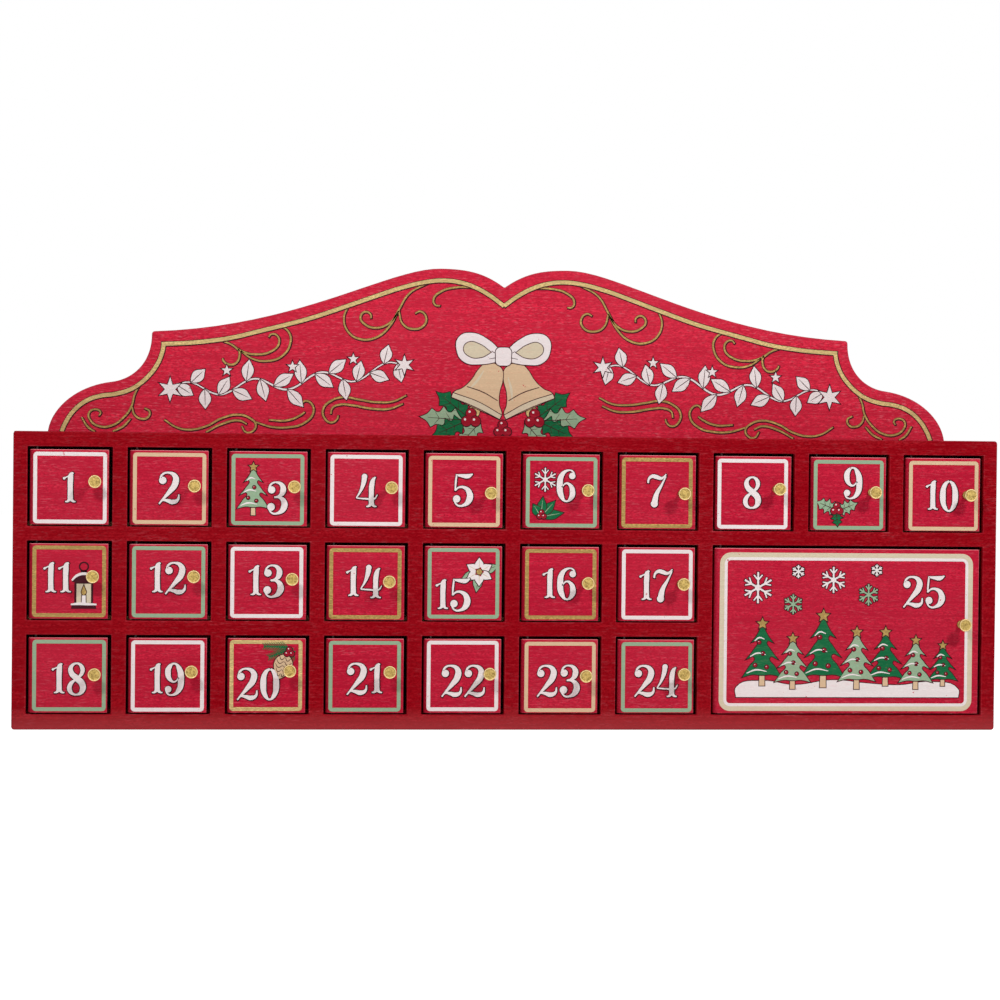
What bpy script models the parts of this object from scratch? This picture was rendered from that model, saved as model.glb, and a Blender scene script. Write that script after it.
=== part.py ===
"""Wooden advent calendar: a shallow box with 25 hinged doors under a scrolled header board.

Metres, +Z up. The origin is the centre of the box's base, X runs along the width, and
the front faces -Y. Run with: blender --background --python part.py
"""

import math

import bmesh
import bpy
from mathutils import Matrix

# Grid of openings in the face frame, seen from the front. Rows are counted from the top.
COLUMNS = 10
ROWS = 3
BIG_DOOR_COLUMNS = 3
BIG_DOOR_ROWS = 2
OPENING_WIDTH = 0.0504
OPENING_HEIGHT = 0.0476
MULLION_WIDTH = 0.0088
RAIL_HEIGHT = 0.0086
SIDE_STILE = 0.0084
TOP_RAIL = 0.0090
BOTTOM_RAIL = 0.0092

# Boards
BOX_DEPTH = 0.066
FACE_THICKNESS = 0.009
SIDE_THICKNESS = 0.008
TOP_THICKNESS = 0.009
BACK_THICKNESS = 0.006
GRID_THICKNESS = 0.006
DOOR_STOP_HEIGHT = 0.0025
FACE_CORNER_RADIUS = 0.0018
EDGE_EASE = 0.0004
BOARD_GAP = 0.0003

# Scrolled header, one half; the other half mirrors it
HEADER_INSET = 0.018
SHOULDER_WIDTH = 0.039
SHOULDER_HEIGHT = 0.0313
STEP_WIDTH = 0.026
STEP_HEIGHT = 0.0315
STEP_CORNER_RADIUS = 0.0018
CREST_HEIGHT = 0.0415
CREST_OFFSET = 0.0404
NOTCH_DEPTH = 0.0114
HEADER_EDGE_EASE = 0.0005

# Doors, each a little inside the face frame at its front and at its back
DOOR_RECESS = 0.0003
DOOR_BACK_RECESS = 0.0003
HINGE_GAP = 0.0014
FREE_GAP = 0.0022
TOP_GAP = 0.0018
BOTTOM_GAP = 0.0009
DOOR_EDGE_EASE = 0.0004

# Hinge pins, steel wire driven into the door's ends and turning in the frame's notches
PIN_RADIUS = 0.0008
PIN_CLEARANCE = 0.0003
PIN_IN_RAIL = 0.003

# Knobs, turned brass with a plain shank
KNOB_HEAD_RADIUS = 0.004
KNOB_PROJECTION = 0.0114
KNOB_HEAD_THICKNESS = 0.0031
KNOB_DISH_DEPTH = 0.0007
KNOB_RIM_THICKNESS = 0.0009
KNOB_NECK_RADIUS = 0.0015
KNOB_BASE_RADIUS = 0.0026
KNOB_BASE_THICKNESS = 0.0009
KNOB_COVE_HEIGHT = 0.0010
KNOB_SHANK_RADIUS = 0.001
KNOB_SHANK_LENGTH = 0.0055
KNOB_SEAT_GAP = 0.0003
KNOB_FROM_EDGE = 0.0084
KNOB_RAISE = 0.0017
BIG_KNOB_FROM_EDGE = 0.0109
BIG_KNOB_RAISE = 0.0045

# The knobs' holes are drilled by hand. Each lies this many strays right of and above its usual place
KNOB_STRAY = 0.0003
KNOB_STRAYS = {
    1: (1, 6), 2: (0, -1), 3: (1, -1), 4: (-2, -1), 5: (1, -10), 6: (0, -3), 7: (0, -8), 8: (-2, 3),
    9: (-1, -2), 10: (0, -6), 11: (-2, 5), 12: (0, 6), 13: (-2, 2), 14: (-5, -2), 16: (2, -3),
    17: (0, -4), 18: (3, -2), 19: (-3, 4), 20: (-5, 6), 21: (-2, 4), 22: (2, 1), 23: (0, -3), 24: (3, 1),
}
DOORS_WITHOUT_KNOB = (15,)

# Numbers of straight sides in round shapes
PIN_SIDES = 8
HOLE_SIDES = 8
KNOB_STEPS = 12
BULLNOSE_SEGMENTS = 4
HEADER_CURVE_STEPS = 8

# Cutters run past the wood by this much, and points this close are one
CUT_OVERRUN = 0.001
WELD = 0.00002

# Sizes worked out from those above
COLUMN_PITCH = OPENING_WIDTH + MULLION_WIDTH
ROW_PITCH = OPENING_HEIGHT + RAIL_HEIGHT
BOX_WIDTH = 2 * SIDE_STILE + COLUMNS * COLUMN_PITCH - MULLION_WIDTH
BOX_HEIGHT = BOTTOM_RAIL + ROWS * ROW_PITCH - RAIL_HEIGHT + TOP_RAIL
FRONT = -BOX_DEPTH / 2
FACE_BACK = FRONT + FACE_THICKNESS
BOARDS_FRONT = FACE_BACK + BOARD_GAP
BACK_FRONT = BOX_DEPTH / 2 - BACK_THICKNESS
BOARDS_BACK = BACK_FRONT - BOARD_GAP
BOARDS_MIDDLE = (BOARDS_FRONT + BOARDS_BACK) / 2
BOTTOM_THICKNESS = BOTTOM_RAIL + DOOR_STOP_HEIGHT
INNER_LEFT = -BOX_WIDTH / 2 + SIDE_THICKNESS + BOARD_GAP
DOOR_THICKNESS = FACE_THICKNESS - DOOR_RECESS - DOOR_BACK_RECESS
HINGE_Y = FRONT + DOOR_RECESS + DOOR_THICKNESS / 2
BULLNOSE_RADIUS = DOOR_THICKNESS / 2
BIG_DOOR_FIRST_COLUMN = COLUMNS - BIG_DOOR_COLUMNS
BIG_DOOR_FIRST_ROW = ROWS - BIG_DOOR_ROWS

RED_PAINT = (0.42, 0.008, 0.022)
DEEP_RED_PAINT = (0.27, 0.005, 0.012)
RAW_PLYWOOD = (0.60, 0.42, 0.25)
BRASS = (0.78, 0.57, 0.22)


def clear_scene():
    for obj in list(bpy.data.objects):
        bpy.data.objects.remove(obj, do_unlink=True)


def make_collection(name):
    collection = bpy.data.collections.new(name)
    bpy.context.scene.collection.children.link(collection)
    return collection


def make_material(name, colour, roughness, metallic=0.0):
    material = bpy.data.materials.new(name)
    material.use_nodes = True
    material.diffuse_color = (*colour, 1.0)
    shader = material.node_tree.nodes["Principled BSDF"]
    shader.inputs["Base Color"].default_value = (*colour, 1.0)
    shader.inputs["Roughness"].default_value = roughness
    shader.inputs["Metallic"].default_value = metallic
    return material


def add_object(name, mesh, collection, material=None):
    obj = bpy.data.objects.new(name, mesh)
    collection.objects.link(obj)
    if material:
        mesh.materials.append(material)
    return obj


def boxes_mesh(name, boxes):
    """A mesh of separate closed boxes, each given by its lowest and highest corner."""
    bm = bmesh.new()
    for low, high in boxes:
        centre = [(a + b) / 2 for a, b in zip(low, high)]
        size = [b - a for a, b in zip(low, high)]
        matrix = Matrix.Translation(centre) @ Matrix.Diagonal((*size, 1.0))
        bmesh.ops.create_cube(bm, size=1.0, matrix=matrix)
    mesh = bpy.data.meshes.new(name)
    bm.to_mesh(mesh)
    bm.free()
    return mesh


def ease_edges(obj, width):
    """Take the sharpness off a board's square edges, as sanding does."""
    bevel = obj.modifiers.new("eased_edges", "BEVEL")
    bevel.width = width
    bevel.segments = 1
    bevel.limit_method = "ANGLE"
    bevel.angle_limit = math.radians(60)


def combine(obj, tool, operation):
    boolean = obj.modifiers.new(operation.lower() + "_" + tool.name, "BOOLEAN")
    boolean.operation = operation
    boolean.solver = "EXACT"
    boolean.object = tool


def cut(obj, tool):
    combine(obj, tool, "DIFFERENCE")


def join(obj, tool):
    combine(obj, tool, "UNION")


def add_cutter(name, mesh):
    cutter = add_object(name, mesh, cutters)
    cutter.hide_render = True
    cutter.display_type = "WIRE"
    return cutter


def shade_round(mesh):
    mesh.shade_smooth()
    mesh.set_sharp_from_angle(angle=math.radians(35))


def column_left(column):
    """X of the left edge of a column's openings."""
    return -BOX_WIDTH / 2 + SIDE_STILE + column * COLUMN_PITCH


def row_sill(row):
    """Z of the lower edge of a row's openings."""
    return BOTTOM_RAIL + (ROWS - 1 - row) * ROW_PITCH


def divider_x(mullion):
    """X of the middle of the mullion to the right of a column."""
    return column_left(mullion) + OPENING_WIDTH + MULLION_WIDTH / 2


def shelf_top(row):
    """Z of the top of the board under a row, which stands above the sill as a door stop."""
    return row_sill(row) + DOOR_STOP_HEIGHT


def in_big_opening(column, row):
    return column >= BIG_DOOR_FIRST_COLUMN and row >= BIG_DOOR_FIRST_ROW


def openings():
    """Left, right, low and high edge of each opening, in the order of the doors' numbers."""
    found = []
    for row in range(ROWS):
        for column in range(COLUMNS):
            if not in_big_opening(column, row):
                left = column_left(column)
                low = row_sill(row)
                found.append((left, left + OPENING_WIDTH, low, low + OPENING_HEIGHT))
    left = column_left(BIG_DOOR_FIRST_COLUMN)
    right = column_left(COLUMNS - 1) + OPENING_WIDTH
    high = row_sill(BIG_DOOR_FIRST_ROW) + OPENING_HEIGHT
    found.append((left, right, row_sill(ROWS - 1), high))
    return found


def hinge_x(left):
    return left + HINGE_GAP + BULLNOSE_RADIUS


def build_face_frame(material):
    """One sheet with the openings cut out and two pin notches at the back of each."""
    cell_xs = [-BOX_WIDTH / 2]
    for column in range(COLUMNS):
        cell_xs += [column_left(column), column_left(column) + OPENING_WIDTH]
    cell_xs.append(BOX_WIDTH / 2)
    cell_zs = [0.0]
    for row in reversed(range(ROWS)):
        cell_zs += [row_sill(row), row_sill(row) + OPENING_HEIGHT]
    cell_zs.append(BOX_HEIGHT)

    bm = bmesh.new()
    bmesh.ops.create_grid(bm, x_segments=len(cell_xs) - 1, y_segments=len(cell_zs) - 1, size=1.0)
    for vert in bm.verts:
        column_line = round((vert.co.x + 1) / 2 * (len(cell_xs) - 1))
        row_line = round((vert.co.y + 1) / 2 * (len(cell_zs) - 1))
        vert.co = (cell_xs[column_line], FRONT, cell_zs[row_line])
    in_openings = []
    for face in bm.faces:
        middle = face.calc_center_median()
        if any(x0 < middle.x < x1 and z0 < middle.z < z1 for x0, x1, z0, z1 in openings()):
            in_openings.append(face)
    bmesh.ops.delete(bm, geom=in_openings, context="FACES")
    corners = [v for v in bm.verts if len(v.link_faces) == 1]
    bmesh.ops.bevel(bm, geom=corners, offset=FACE_CORNER_RADIUS, segments=3, profile=0.5,
                    affect="VERTICES")
    bmesh.ops.recalc_face_normals(bm, faces=bm.faces)
    mesh = bpy.data.meshes.new("face_frame")
    bm.to_mesh(mesh)
    bm.free()

    frame = add_object("face_frame", mesh, parts, material)
    towards_front = mesh.polygons[0].normal.y < 0
    solidify = frame.modifiers.new("sheet_thickness", "SOLIDIFY")
    solidify.thickness = FACE_THICKNESS
    solidify.offset = -1.0 if towards_front else 1.0
    ease_edges(frame, EDGE_EASE)

    notches = []
    reach = PIN_RADIUS + PIN_CLEARANCE
    for left, _, low, high in openings():
        for end, direction in ((low, -1), (high, 1)):
            outer = end + direction * (PIN_IN_RAIL + PIN_CLEARANCE)
            inner = end - direction * CUT_OVERRUN
            notches.append(((hinge_x(left) - reach, HINGE_Y - reach, min(outer, inner)),
                            (hinge_x(left) + reach, FACE_BACK + CUT_OVERRUN, max(outer, inner))))
    cut(frame, add_cutter("pin_notches", boxes_mesh("pin_notches", notches)))


def build_outer_boards(material):
    """Sides, top and bottom between the face frame and the back board."""
    side_inner = BOX_WIDTH / 2 - SIDE_THICKNESS
    spans = {
        "left_side": (-BOX_WIDTH / 2, -side_inner, 0.0, BOX_HEIGHT),
        "right_side": (side_inner, BOX_WIDTH / 2, 0.0, BOX_HEIGHT),
        "top_board": (INNER_LEFT, -INNER_LEFT, BOX_HEIGHT - TOP_THICKNESS, BOX_HEIGHT),
        "bottom_board": (INNER_LEFT, -INNER_LEFT, 0.0, BOTTOM_THICKNESS),
    }
    for name, (low_x, high_x, low_z, high_z) in spans.items():
        box = ((low_x, BOARDS_FRONT, low_z), (high_x, BOARDS_BACK, high_z))
        board = add_object(name, boxes_mesh(name, [box]), parts, material)
        ease_edges(board, EDGE_EASE)


def divider_box(mullion, floor):
    """Corners of the upright behind a mullion, from the board or shelf that it stands on."""
    middle = divider_x(mullion)
    ceiling = BOX_HEIGHT - TOP_THICKNESS - BOARD_GAP
    return ((middle - GRID_THICKNESS / 2, BOARDS_FRONT, floor + BOARD_GAP),
            (middle + GRID_THICKNESS / 2, BOARDS_BACK, ceiling))


def build_divider_grid(material):
    """Upper shelf with the full-height uprights glued across it, slotted for the lower shelf."""
    top = shelf_top(0)
    shelf = ((INNER_LEFT, BOARDS_FRONT, top - GRID_THICKNESS), (-INNER_LEFT, BOARDS_BACK, top))
    grid = add_object("divider_grid", boxes_mesh("divider_grid", [shelf]), parts, material)
    uprights = [divider_box(mullion, BOTTOM_THICKNESS) for mullion in range(BIG_DOOR_FIRST_COLUMN)]
    join(grid, add_cutter("uprights", boxes_mesh("uprights", uprights)))

    lower_top = shelf_top(1)
    half_width = GRID_THICKNESS / 2 + CUT_OVERRUN
    slots = []
    for mullion in range(BIG_DOOR_FIRST_COLUMN):
        middle = divider_x(mullion)
        low_corner = (middle - half_width, BOARDS_FRONT - CUT_OVERRUN,
                      lower_top - GRID_THICKNESS - BOARD_GAP)
        high_corner = (middle + half_width, BOARDS_MIDDLE + BOARD_GAP, lower_top + BOARD_GAP)
        slots.append((low_corner, high_corner))
    cut(grid, add_cutter("upright_slots", boxes_mesh("upright_slots", slots)))


def build_lower_shelf(material):
    """Shelf under the second row, as far as the large compartment, half-lapped into the uprights."""
    top = shelf_top(1)
    right_end = divider_x(BIG_DOOR_FIRST_COLUMN - 1) + GRID_THICKNESS / 2
    box = ((INNER_LEFT, BOARDS_FRONT, top - GRID_THICKNESS), (right_end, BOARDS_BACK, top))
    shelf = add_object("lower_shelf", boxes_mesh("lower_shelf", [box]), parts, material)
    half_slot = GRID_THICKNESS / 2 + BOARD_GAP
    slots = []
    for mullion in range(BIG_DOOR_FIRST_COLUMN):
        middle = divider_x(mullion)
        slots.append(((middle - half_slot, BOARDS_MIDDLE, top - GRID_THICKNESS - CUT_OVERRUN),
                      (middle + half_slot, BOARDS_BACK + CUT_OVERRUN, top + CUT_OVERRUN)))
    cut(shelf, add_cutter("shelf_slots", boxes_mesh("shelf_slots", slots)))


def build_short_dividers(material):
    """Uprights of the top row's last compartments, over the large one."""
    for mullion in range(BIG_DOOR_FIRST_COLUMN, COLUMNS - 1):
        name = f"short_divider_{mullion - BIG_DOOR_FIRST_COLUMN + 1}"
        box = divider_box(mullion, shelf_top(0))
        add_object(name, boxes_mesh(name, [box]), parts, material)


def header_knots():
    """Knots of the left half above the box: point, handle before and handle after, in X and Z.

    A handle's reach is a share of the run and rise of its own stretch of the outline.
    """
    base_x = -BOX_WIDTH / 2 + HEADER_INSET
    base = (base_x, BOX_HEIGHT)
    shoulder = (base_x + SHOULDER_WIDTH, BOX_HEIGHT + SHOULDER_HEIGHT)
    step = (shoulder[0] + STEP_WIDTH, shoulder[1] + STEP_HEIGHT)
    crest = (-CREST_OFFSET, step[1] + CREST_HEIGHT)
    notch = (0.0, crest[1] - NOTCH_DEPTH)
    sweep = crest[0] - step[0]
    step_foot = (step[0] - STEP_CORNER_RADIUS, step[1] - STEP_CORNER_RADIUS)
    return [
        (base, base, (base[0] + 0.04 * SHOULDER_WIDTH, base[1] + 0.42 * SHOULDER_HEIGHT)),
        (shoulder, (shoulder[0] - 0.61 * SHOULDER_WIDTH, shoulder[1] - 0.10 * SHOULDER_HEIGHT),
         (shoulder[0] + 0.45 * STEP_WIDTH, shoulder[1] + 0.05 * STEP_HEIGHT)),
        (step_foot, (step_foot[0], step_foot[1] - 0.60 * STEP_HEIGHT),
         (step_foot[0], step_foot[1] + 0.55 * STEP_CORNER_RADIUS)),
        (step, (step[0] - 0.55 * STEP_CORNER_RADIUS, step[1]),
         (step[0] + 0.50 * sweep, step[1] + 0.095 * CREST_HEIGHT)),
        (crest, (crest[0] - 0.18 * sweep, crest[1]), (crest[0] + 0.40 * CREST_OFFSET, crest[1])),
        (notch, (-0.32 * CREST_OFFSET, notch[1] + 0.84 * NOTCH_DEPTH),
         (0.32 * CREST_OFFSET, notch[1] + 0.84 * NOTCH_DEPTH)),
    ]


def mirrored(knot):
    point, before, after = knot
    return tuple((-x, z) for x, z in (point, after, before))


def build_back_board(material):
    """Back board and scrolled header in one piece, from a flat outline."""
    foot = (-BOX_WIDTH / 2, 0.0)
    ledge = (-BOX_WIDTH / 2, BOX_HEIGHT)
    left_knots = [(foot, foot, foot), (ledge, ledge, ledge)] + header_knots()
    knots = left_knots + [mirrored(knot) for knot in reversed(left_knots[:-1])]

    curve = bpy.data.curves.new("header_outline", "CURVE")
    curve.dimensions = "2D"
    curve.fill_mode = "BOTH"
    curve.extrude = BACK_THICKNESS / 2
    curve.resolution_u = HEADER_CURVE_STEPS
    spline = curve.splines.new("BEZIER")
    spline.bezier_points.add(len(knots) - 1)
    spline.use_cyclic_u = True
    for bezier, (point, before, after) in zip(spline.bezier_points, knots):
        bezier.handle_left_type = bezier.handle_right_type = "FREE"
        bezier.co = (*point, 0.0)
        bezier.handle_left = (*before, 0.0)
        bezier.handle_right = (*after, 0.0)

    outline = bpy.data.objects.new("header_outline", curve)
    cutters.objects.link(outline)
    outline.rotation_euler = (math.radians(90), 0.0, 0.0)
    outline.location = (0.0, BACK_FRONT + BACK_THICKNESS / 2, 0.0)
    bpy.context.view_layer.update()
    mesh = bpy.data.meshes.new_from_object(outline.evaluated_get(bpy.context.evaluated_depsgraph_get()))
    matrix = outline.matrix_world.copy()
    bpy.data.objects.remove(outline)

    bm = bmesh.new()
    bm.from_mesh(mesh)
    bmesh.ops.remove_doubles(bm, verts=bm.verts, dist=WELD)
    bmesh.ops.dissolve_limit(bm, angle_limit=math.radians(0.5), verts=bm.verts, edges=bm.edges)
    bmesh.ops.recalc_face_normals(bm, faces=bm.faces)
    bm.to_mesh(mesh)
    bm.free()
    shade_round(mesh)
    board = add_object("header_back_board", mesh, parts, material)
    board.matrix_world = matrix
    ease_edges(board, HEADER_EDGE_EASE)


def door_mesh(name, width, height):
    """A slab whose hinge edge is a full half round about the pins; the origin is on their axis."""
    left = -BULLNOSE_RADIUS
    slab = ((left, -DOOR_THICKNESS / 2, 0.0), (left + width, DOOR_THICKNESS / 2, height))
    mesh = boxes_mesh(name, [slab])
    bm = bmesh.new()
    bm.from_mesh(mesh)
    near_hinge = BULLNOSE_RADIUS / 2
    hinge_edges = [e for e in bm.edges if all(abs(v.co.x - left) < near_hinge for v in e.verts)
                   and abs(e.verts[0].co.y - e.verts[1].co.y) < near_hinge]
    bmesh.ops.bevel(bm, geom=hinge_edges, offset=BULLNOSE_RADIUS, segments=BULLNOSE_SEGMENTS,
                    profile=0.5, affect="EDGES", clamp_overlap=True)
    bmesh.ops.remove_doubles(bm, verts=bm.verts, dist=WELD)
    bm.to_mesh(mesh)
    bm.free()
    shade_round(mesh)
    return mesh


def add_cylinder(bm, radius, length, sides, matrix):
    bmesh.ops.create_cone(bm, cap_ends=True, segments=sides, radius1=radius, radius2=radius,
                          depth=length, matrix=matrix)


def door_pins_mesh(name, height):
    """The two pins of a door, from inside its ends to their seats in the rails."""
    bm = bmesh.new()
    rooted = BULLNOSE_RADIUS
    for end, outward, gap in ((0.0, -1, BOTTOM_GAP), (height, 1, TOP_GAP)):
        length = rooted + gap + PIN_IN_RAIL
        middle = end + outward * (length / 2 - rooted)
        add_cylinder(bm, PIN_RADIUS, length, PIN_SIDES, Matrix.Translation((0.0, 0.0, middle)))
    mesh = bpy.data.meshes.new(name)
    bm.to_mesh(mesh)
    bm.free()
    return mesh


def shank_hole_mesh(name, place):
    """The blind hole in a door's front for its knob's shank."""
    bm = bmesh.new()
    depth = KNOB_SHANK_LENGTH + KNOB_SEAT_GAP
    front = Matrix.Translation(place)
    along_y = Matrix.Rotation(math.radians(90), 4, "X")
    add_cylinder(bm, KNOB_SHANK_RADIUS + KNOB_SEAT_GAP, 2 * depth, HOLE_SIDES, front @ along_y)
    mesh = bpy.data.meshes.new(name)
    bm.to_mesh(mesh)
    bm.free()
    return mesh


def knob_place(number, width, height, is_big):
    """Where a knob's axis meets its door's front, from the door's origin on the hinge axis."""
    from_edge = BIG_KNOB_FROM_EDGE if is_big else KNOB_FROM_EDGE
    raised = BIG_KNOB_RAISE if is_big else KNOB_RAISE
    stray_right, stray_up = KNOB_STRAYS.get(number, (0, 0))
    x = width - BULLNOSE_RADIUS - from_edge + stray_right * KNOB_STRAY
    return (x, -DOOR_THICKNESS / 2, height / 2 + raised + stray_up * KNOB_STRAY)


def knob_profile():
    """Radius and distance from the door, from the head's dished face to the end of the shank."""
    face = KNOB_PROJECTION
    base_top = KNOB_SEAT_GAP + KNOB_BASE_THICKNESS
    return [
        (0.0, face - KNOB_DISH_DEPTH / 4),
        (0.45 * KNOB_HEAD_RADIUS, face - KNOB_DISH_DEPTH),
        (0.80 * KNOB_HEAD_RADIUS, face),
        (KNOB_HEAD_RADIUS, face - KNOB_RIM_THICKNESS),
        (0.93 * KNOB_HEAD_RADIUS, face - 2 * KNOB_RIM_THICKNESS),
        (KNOB_NECK_RADIUS, face - KNOB_HEAD_THICKNESS),
        (KNOB_NECK_RADIUS, base_top + KNOB_COVE_HEIGHT),
        (KNOB_BASE_RADIUS, base_top),
        (KNOB_BASE_RADIUS, KNOB_SEAT_GAP),
        (KNOB_SHANK_RADIUS, KNOB_SEAT_GAP),
        (KNOB_SHANK_RADIUS, -KNOB_SHANK_LENGTH),
        (0.0, -KNOB_SHANK_LENGTH),
    ]


def knob_mesh():
    """The profile as an open line in XZ, spun about Z by the Screw modifier of each knob."""
    bm = bmesh.new()
    verts = [bm.verts.new((radius, 0.0, height)) for radius, height in knob_profile()]
    for first, second in zip(verts, verts[1:]):
        bm.edges.new((first, second))
    mesh = bpy.data.meshes.new("knob_profile")
    bm.to_mesh(mesh)
    bm.free()
    return mesh


def add_knob(name, mesh, door, place):
    knob = bpy.data.objects.new(name, mesh)
    parts.objects.link(knob)
    screw = knob.modifiers.new("turned", "SCREW")
    screw.steps = screw.render_steps = KNOB_STEPS
    screw.use_merge_vertices = True
    screw.merge_threshold = WELD
    screw.use_smooth_shade = True
    knob.parent = door
    knob.location = place
    knob.rotation_euler = (math.radians(90), 0.0, 0.0)


def build_doors(door_material, knob_material):
    """Each door on its hinge axis, with its knob as a child if it has one."""
    shared_knob = knob_mesh()
    shared_knob.materials.append(knob_material)
    for number, (left, right, low, high) in enumerate(openings(), 1):
        suffix = f"{number:02d}"
        width = right - left - HINGE_GAP - FREE_GAP
        height = high - low - TOP_GAP - BOTTOM_GAP
        slab = door_mesh("door_" + suffix, width, height)
        door = add_object("door_" + suffix, slab, parts, door_material)
        door.location = (hinge_x(left), HINGE_Y, low + BOTTOM_GAP)
        door.parent = calendar
        ease_edges(door, DOOR_EDGE_EASE)
        pins = add_cutter("pins_" + suffix, door_pins_mesh("pins_" + suffix, height))
        pins.parent = door
        join(door, pins)
        if number in DOORS_WITHOUT_KNOB:
            continue
        place = knob_place(number, width, height, number == len(openings()))
        hole = add_cutter("shank_hole_" + suffix, shank_hole_mesh("shank_hole_" + suffix, place))
        hole.parent = door
        cut(door, hole)
        add_knob("knob_" + suffix, shared_knob, door, place)


clear_scene()
parts = make_collection("advent_calendar")
cutters = make_collection("cutters")
calendar = bpy.data.objects.new("calendar_origin", None)
parts.objects.link(calendar)

frame_paint = make_material("frame_paint", DEEP_RED_PAINT, 0.55)
door_paint = make_material("door_paint", RED_PAINT, 0.5)
header_paint = make_material("header_paint", RED_PAINT, 0.5)
inside_wood = make_material("inside_wood", RAW_PLYWOOD, 0.7)
knob_brass = make_material("knob_brass", BRASS, 0.3, metallic=1.0)

build_face_frame(frame_paint)
build_outer_boards(frame_paint)
build_divider_grid(inside_wood)
build_lower_shelf(inside_wood)
build_short_dividers(inside_wood)
build_back_board(header_paint)
build_doors(door_paint, knob_brass)
for part in parts.objects:
    if part.parent is None and part is not calendar:
        part.parent = calendar
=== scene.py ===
# %% [markdown]
# # A wooden advent calendar, dressed for its photograph
#
# The calendar is a shallow painted box with 25 hinged doors under a scrolled header board. The
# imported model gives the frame: where each board, door and knob is, and what turns about what.
# This script adds what the eye sees: softer edges, turned knobs, painted borders, numbers and
# garlands, and the worn red paint itself. Everything is in metres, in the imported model's frame,
# so nothing has to be fitted.

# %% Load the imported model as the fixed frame
import math

import bmesh
import bpy
from mathutils import Matrix, Vector


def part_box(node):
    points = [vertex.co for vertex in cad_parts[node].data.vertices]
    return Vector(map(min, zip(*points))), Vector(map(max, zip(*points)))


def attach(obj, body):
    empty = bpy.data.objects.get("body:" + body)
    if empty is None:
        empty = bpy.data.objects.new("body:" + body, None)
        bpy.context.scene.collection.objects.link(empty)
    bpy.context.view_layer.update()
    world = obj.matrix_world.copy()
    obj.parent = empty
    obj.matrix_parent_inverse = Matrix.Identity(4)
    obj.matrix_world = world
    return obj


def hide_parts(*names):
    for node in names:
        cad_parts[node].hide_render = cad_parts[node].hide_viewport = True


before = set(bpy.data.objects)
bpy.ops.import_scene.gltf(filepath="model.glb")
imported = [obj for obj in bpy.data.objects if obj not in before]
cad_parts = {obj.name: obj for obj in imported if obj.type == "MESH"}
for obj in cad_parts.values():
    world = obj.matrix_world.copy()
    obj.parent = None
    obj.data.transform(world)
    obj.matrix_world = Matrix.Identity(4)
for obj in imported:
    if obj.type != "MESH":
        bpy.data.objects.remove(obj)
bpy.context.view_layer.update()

# %% [markdown]
# ## Camera and room
#
# The camera stands a little left of the calendar's middle, at the height of the box's top, and
# looks slightly to the right and down. Its place and lens were found from the straight lines of
# the box. A lens of about 110 mm on a 36 mm sensor gives the flat, quiet view of a catalogue.

# %% Camera
MM = 0.001
CAMERA_PLACE = Vector((-0.21013, -1.87268, 0.16720))
CAMERA_TURN = 0.10932
CAMERA_TILT = -0.01501
CAMERA_ROLL = 0.01012
CAMERA_LENS = 109.99
SENSOR_WIDTH = 36.0

bpy.ops.object.camera_add()
camera = bpy.context.object
camera.name = "camera"
camera.data.lens = CAMERA_LENS
camera.data.sensor_width = SENSOR_WIDTH
camera.matrix_world = (Matrix.Translation(CAMERA_PLACE) @ Matrix.Rotation(-CAMERA_TURN, 4, "Z")
                       @ Matrix.Rotation(math.radians(90) + CAMERA_TILT, 4, "X")
                       @ Matrix.Rotation(CAMERA_ROLL, 4, "Z"))
bpy.context.scene.camera = camera
bpy.context.scene.view_settings.view_transform = "Standard"
print("camera lens:", camera.data.lens)

# %% [markdown]
# The floor is a pale sheet that the box rests on. Lamps light it like anything else, so it keeps
# the box's soft shadow. Rays that come straight from the camera get a little extra light from
# it, which lifts the bare floor to plain white without adding light to the object. The world
# does the same: white where the camera or a mirror looks at it, and a mild grey as a lamp.

# %% Floor and world
FLOOR_SIZE = 12.0
FLOOR_DROP = 0.1 * MM
FLOOR_WHITE = 0.86
FLOOR_LIFT = 0.80
WORLD_GLOW = 0.18

bpy.ops.object.select_all(action="DESELECT")
bpy.ops.mesh.primitive_plane_add(size=FLOOR_SIZE, location=(0, 0, -FLOOR_DROP))
floor = bpy.context.object
floor.name = "floor"


def add_node(tree, kind, links=(), **settings):
    """A node with its settings made and its inputs joined to other nodes' outputs, or set."""
    node = tree.nodes.new(kind)
    for name, value in settings.items():
        setattr(node, name, value)
    for socket, source in links:
        if isinstance(source, bpy.types.NodeSocket):
            tree.links.new(source, node.inputs[socket])
        else:
            node.inputs[socket].default_value = source
    return node


def seen_directly(tree):
    """1 where a ray comes from the camera, a mirror or glass, and 0 for a diffuse bounce."""
    path = add_node(tree, "ShaderNodeLightPath")
    share = path.outputs["Is Camera Ray"]
    for ray in ("Is Glossy Ray", "Is Transmission Ray"):
        share = add_node(tree, "ShaderNodeMath", [(0, share), (1, path.outputs[ray])],
                         operation="MAXIMUM").outputs[0]
    return share


floor_material = bpy.data.materials.new("floor_white")
floor_material.use_nodes = True
floor_tree = floor_material.node_tree
floor_shader = floor_tree.nodes["Principled BSDF"]
floor_shader.inputs["Base Color"].default_value = (*(FLOOR_WHITE,) * 3, 1)
floor_shader.inputs["Roughness"].default_value = 0.9
floor_shader.inputs["Emission Color"].default_value = (1, 1, 1, 1)
lift = add_node(floor_tree, "ShaderNodeMath", [(0, seen_directly(floor_tree)), (1, FLOOR_LIFT)],
                operation="MULTIPLY")
floor_tree.links.new(lift.outputs[0], floor_shader.inputs["Emission Strength"])
floor.data.materials.append(floor_material)

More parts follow.
